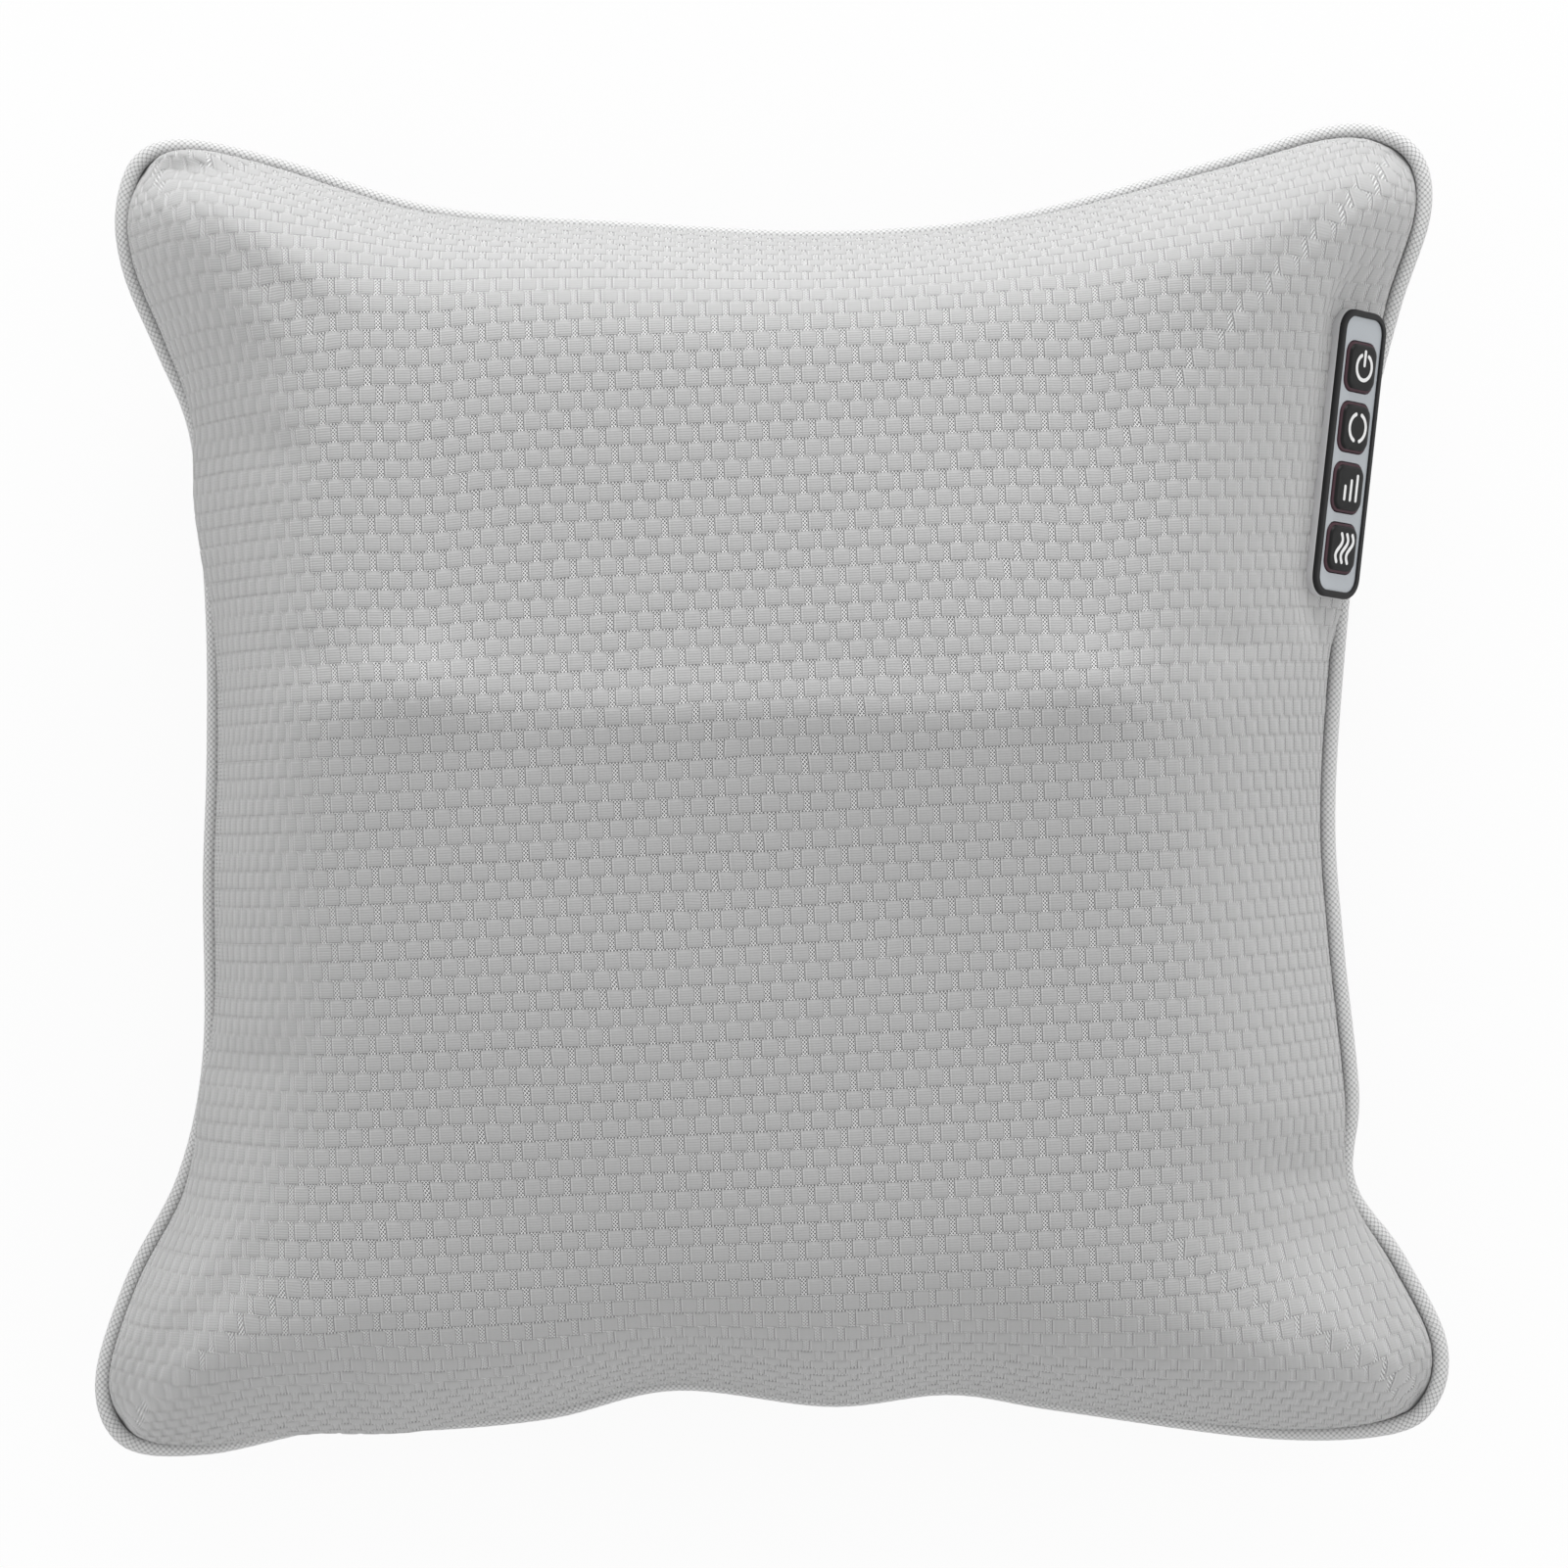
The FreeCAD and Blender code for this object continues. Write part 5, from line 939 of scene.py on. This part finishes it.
on_cap, on_foot, on_print = 0, 1, 2
key_steps = [(0.0, -2.2, on_foot), (0.0, 0.15, on_foot), (0.18, 0.32, on_foot), (0.5, 0.36, on_foot),
             (0.62, 0.45, on_cap), (0.72, 0.85, on_cap), (0.95, 1.1, on_cap), (1.35, 1.24, on_cap),
             (2.2, 1.3, on_cap), (3.6, 1.34, on_cap), (5.0, 1.35, on_cap)]
print_low, print_high, line_width = 1.28, 1.40, 0.92


def key_rubber(row_y):
    """A key's rubber: plum foot in the window, black cap with rounded shoulders and a slight dome."""
    rings = [rounded_ring(key_size - 2 * inset, key_size - 2 * inset, max(key_corner - 0.75 * inset, 0.5),
                          face_height + rise, row_y)
             for inset, rise, _ in key_steps]
    return lofted(rings, [tone for _, _, tone in key_steps])


def stroke(points, row_y):
    """A raised printed line through points on a key's top, with round ends."""
    line = np.array(points, float)
    ahead = np.gradient(line, axis=0)
    ahead /= np.linalg.norm(ahead, axis=1)[:, None]
    side = np.stack([-ahead[:, 1], ahead[:, 0]], 1) * line_width / 2
    end_turns = np.radians(np.linspace(30, 150, 5))

    def round_end(tip, forward, across):
        return [tip + forward * math.sin(t) * line_width / 2 + across * math.cos(t) for t in end_turns]

    edge = (list(line + side) + round_end(line[-1], ahead[-1], side[-1])
            + list((line - side)[::-1]) + round_end(line[0], -ahead[0], -side[0]))
    count, half = len(edge), len(line)
    verts = [(x, y + row_y, face_height + rise) for rise in (print_low, print_high) for x, y in edge]
    walls = [(count + i, count + (i + 1) % count, (i + 1) % count, i) for i in range(count)]
    far = half + len(end_turns)
    last = far + half - 1
    strips = [(i + 1, last - i - 1, last - i, i) for i in range(half - 1)]
    ends = [range(far, half - 2, -1), [0, *range(count - 1, last - 1, -1)]]
    top = [tuple(count + i for i in face) for face in (*strips, *ends)]
    return verts, walls + top, [on_print] * (len(walls) + len(top))


def arc(radius, first, last, steps=22):
    return [(radius * math.cos(math.radians(t)), radius * math.sin(math.radians(t)))
            for t in np.linspace(first, last, steps)]


def wave_line(x, tall, lean_out, swing):
    """An upright wave through a place, leaning a little."""
    return [(x + lean_out * (2 * t - 1) - swing * math.sin(full_turn * t), tall * (t - 0.5))
            for t in np.linspace(0, 1, 22)]


bar_gap, wave_gap = 2.45, 2.3
signs = {
    "power": [arc(3.2, 118, 422, 36), [(0, 0.5), (0, 2.2), (0, 3.9)]],
    "direction": [arc(3.45, 110, 250), arc(3.45, -70, 70)],
    "speed": [[(x, -2.9), (x, -1.2), (x, top)]
              for x, top in ((-bar_gap, 0.2), (0.0, 1.8), (bar_gap, 3.2))],
    "warmth": [wave_line(x, 7.0, 0.6, 0.9) for x in (-wave_gap, 0.0, wave_gap)],
}
for name, row_y in zip(key_names, key_rows):
    key_parts = [key_rubber(row_y)] + [stroke(line, row_y) for line in signs[name]]
    key = seat_piece(f"{name}_key_rubber", key_parts, [key_black, key_plum, print_white], 60)
    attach(key, f"{name}_button")
    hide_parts(f"{name}_key")

# ------------------------------------------------------------------ zip
# Coil zip behind a slot in the back cover: two woven tapes, two rows of coil teeth, a painted zinc
# slider and its pull. A row of stitches round the slot sews the tapes to the cover.


def block(low, high, bevel):
    """Points and faces of a block with its upright edges cut back by bevel."""
    (x0, y0, z0), (x1, y1, z1) = low, high
    flat = [(x0 + bevel, y0), (x1 - bevel, y0), (x1, y0 + bevel), (x1, y1 - bevel),
            (x1 - bevel, y1), (x0 + bevel, y1), (x0, y1 - bevel), (x0, y0 + bevel)]
    verts = [(x, y, z) for z in (z0, z1) for x, y in flat]
    walls = [(i, (i + 1) % 8, 8 + (i + 1) % 8, 8 + i) for i in range(8)]
    return verts, [tuple(range(7, -1, -1)), tuple(range(8, 16))] + walls


coil_outer, coil_low, coil_top = 2.2, 2.0, 3.5
tape_wide, tape_low, tape_thick, tape_past = 14.0, 2.5, 0.5, 4.0
tape_end = zip_half + tape_past
tape_halves = []
for side in (-1, 1):
    lines = np.linspace(zip_y + side * coil_outer, zip_y + side * (coil_outer + tape_wide), 15)
    runs = np.linspace(-tape_end, tape_end, 80)
    verts = [(x, y, tape_low + rise + 0.08 * math.sin(x * 1.1) * math.sin(y))
             for rise in (0.0, tape_thick) for x in runs for y in lines]
    wide, upper = len(lines), len(runs) * len(lines)
    faces = []
    for i in range(len(runs) - 1):
        for k in range(wide - 1):
            near, far = i * wide + k, (i + 1) * wide + k
            faces += [(near, near + 1, far + 1, far),
                      (upper + near, upper + far, upper + far + 1, upper + near + 1)]
    tape_halves.append((verts, faces))
weave_tape, start = new_finish("woven_tape")
twill = start.node("ShaderNodeTexWave", {"bands_direction": "DIAGONAL"},
                   {"Vector": place_of(start), "Scale": 900.0}, "Fac")
principled(start, {"Base Color": twill.blend(grey(0.07), grey(0.13)),
                   "Roughness": 0.8,
                   "Normal": twill.bump(0.0001, 0.7)})
tapes = solid_piece("zip_tape_pair", tape_halves, [weave_tape], 45)
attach(tapes, "cushion")
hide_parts("zip_tapes")

tooth_pitch, tooth_wide, tooth_overlap, tooth_inset = 1.25, 0.55, 0.35, 0.1
first_tooth = -zip_half + 1.3
teeth = []
for side in (-1, 1):
    for number in range(int(2 * (zip_half - 1) / tooth_pitch)):
        x = first_tooth + tooth_pitch * (number + (0.5 if side > 0 else 0.0))
        low_y, high_y = sorted((zip_y - side * tooth_overlap, zip_y + side * coil_outer))
        teeth.append(block((x, low_y, coil_low + tooth_inset),
                           (x + tooth_wide, high_y, coil_top - tooth_inset), 0.12))
coils = solid_piece("zip_coil_pair", teeth, [moulded("coil_nylon", (0.05, 0.05, 0.05), 0.35)])
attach(coils, "cushion")
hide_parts("zip_coils")

stitch_long, stitch_pitch, stitch_out, stitch_bevel = 2.4, 3.4, 2.0, 0.2
stitch_half_wide, stitch_half_thick = 0.225, 0.3
stitches = []
for side in (-1, 1):
    row_y, end_x = zip_y + side * (zip_slot + stitch_out), side * (zip_half + stitch_out)
    for x in np.arange(-zip_half - stitch_out, zip_half + stitch_out, stitch_pitch):
        stitches.append(block((x, row_y - stitch_half_wide, -stitch_half_thick),
                              (x + stitch_long, row_y + stitch_half_wide, stitch_half_thick), stitch_bevel))
    for y in np.arange(zip_y - zip_slot, zip_y + zip_slot, stitch_pitch):
        stitches.append(block((end_x - stitch_half_wide, y, -stitch_half_thick),
                              (end_x + stitch_half_wide, y + stitch_long, stitch_half_thick), stitch_bevel))
stitch_thread = moulded("stitch_thread", (0.55, 0.55, 0.55), 0.7, 4000.0)
zip_stitching = solid_piece("zip_stitching", stitches, [stitch_thread])
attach(zip_stitching, "cushion")

zinc_paint = moulded("zinc_paint", (0.03, 0.03, 0.032), 0.32, 700.0, 0.00002, 0.3)
dress(zinc_paint, "zip_slider", "zip_pull")

# ------------------------------------------------------------------ power inlet
# Black nylon barrel socket with a nickel-plated centre pin, set in the right side of the back cover.
# A soft black ring is pressed into the hole's edge and hides the cut cloth round the collar.

dress(black_nylon, "power_inlet")
dress(bare_metal("nickel", (0.72, 0.70, 0.66), 0.2), "inlet_centre_pin")

ring_radius, ring_thick, ring_steps, ring_sides, feel_reach = 8.3, 1.45, 96, 16, 4.5
side_cloth = cloth[(cloth[..., 0] > right_wall) & (reach_in > 0.5)]
ring_points = []
for angle in np.linspace(0, full_turn, ring_steps, endpoint=False):
    spot_y = inlet_y + ring_radius * math.cos(angle)
    spot_z = inlet_z + ring_radius * math.sin(angle)
    near = np.exp(-((side_cloth[:, 1] - spot_y) ** 2 + (side_cloth[:, 2] - spot_z) ** 2) / feel_reach)
    spot_x = (near * side_cloth[:, 0]).sum() / near.sum()
    for turn in np.linspace(0, full_turn, ring_sides, endpoint=False):
        grow = ring_thick * math.cos(turn)
        ring_points.append((spot_x + ring_thick * math.sin(turn), spot_y + grow * math.cos(angle),
                            spot_z + grow * math.sin(angle)))
ring_faces = []
for i in range(ring_steps):
    for j in range(ring_sides):
        here, after, beside = i * ring_sides, (i + 1) % ring_steps * ring_sides, (j + 1) % ring_sides
        ring_faces.append((here + j, here + beside, after + beside, after + j))
hole_ring = solid_piece("inlet_hole_ring", [(ring_points, ring_faces)], [black_nylon], 45)
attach(hole_ring, "cushion")
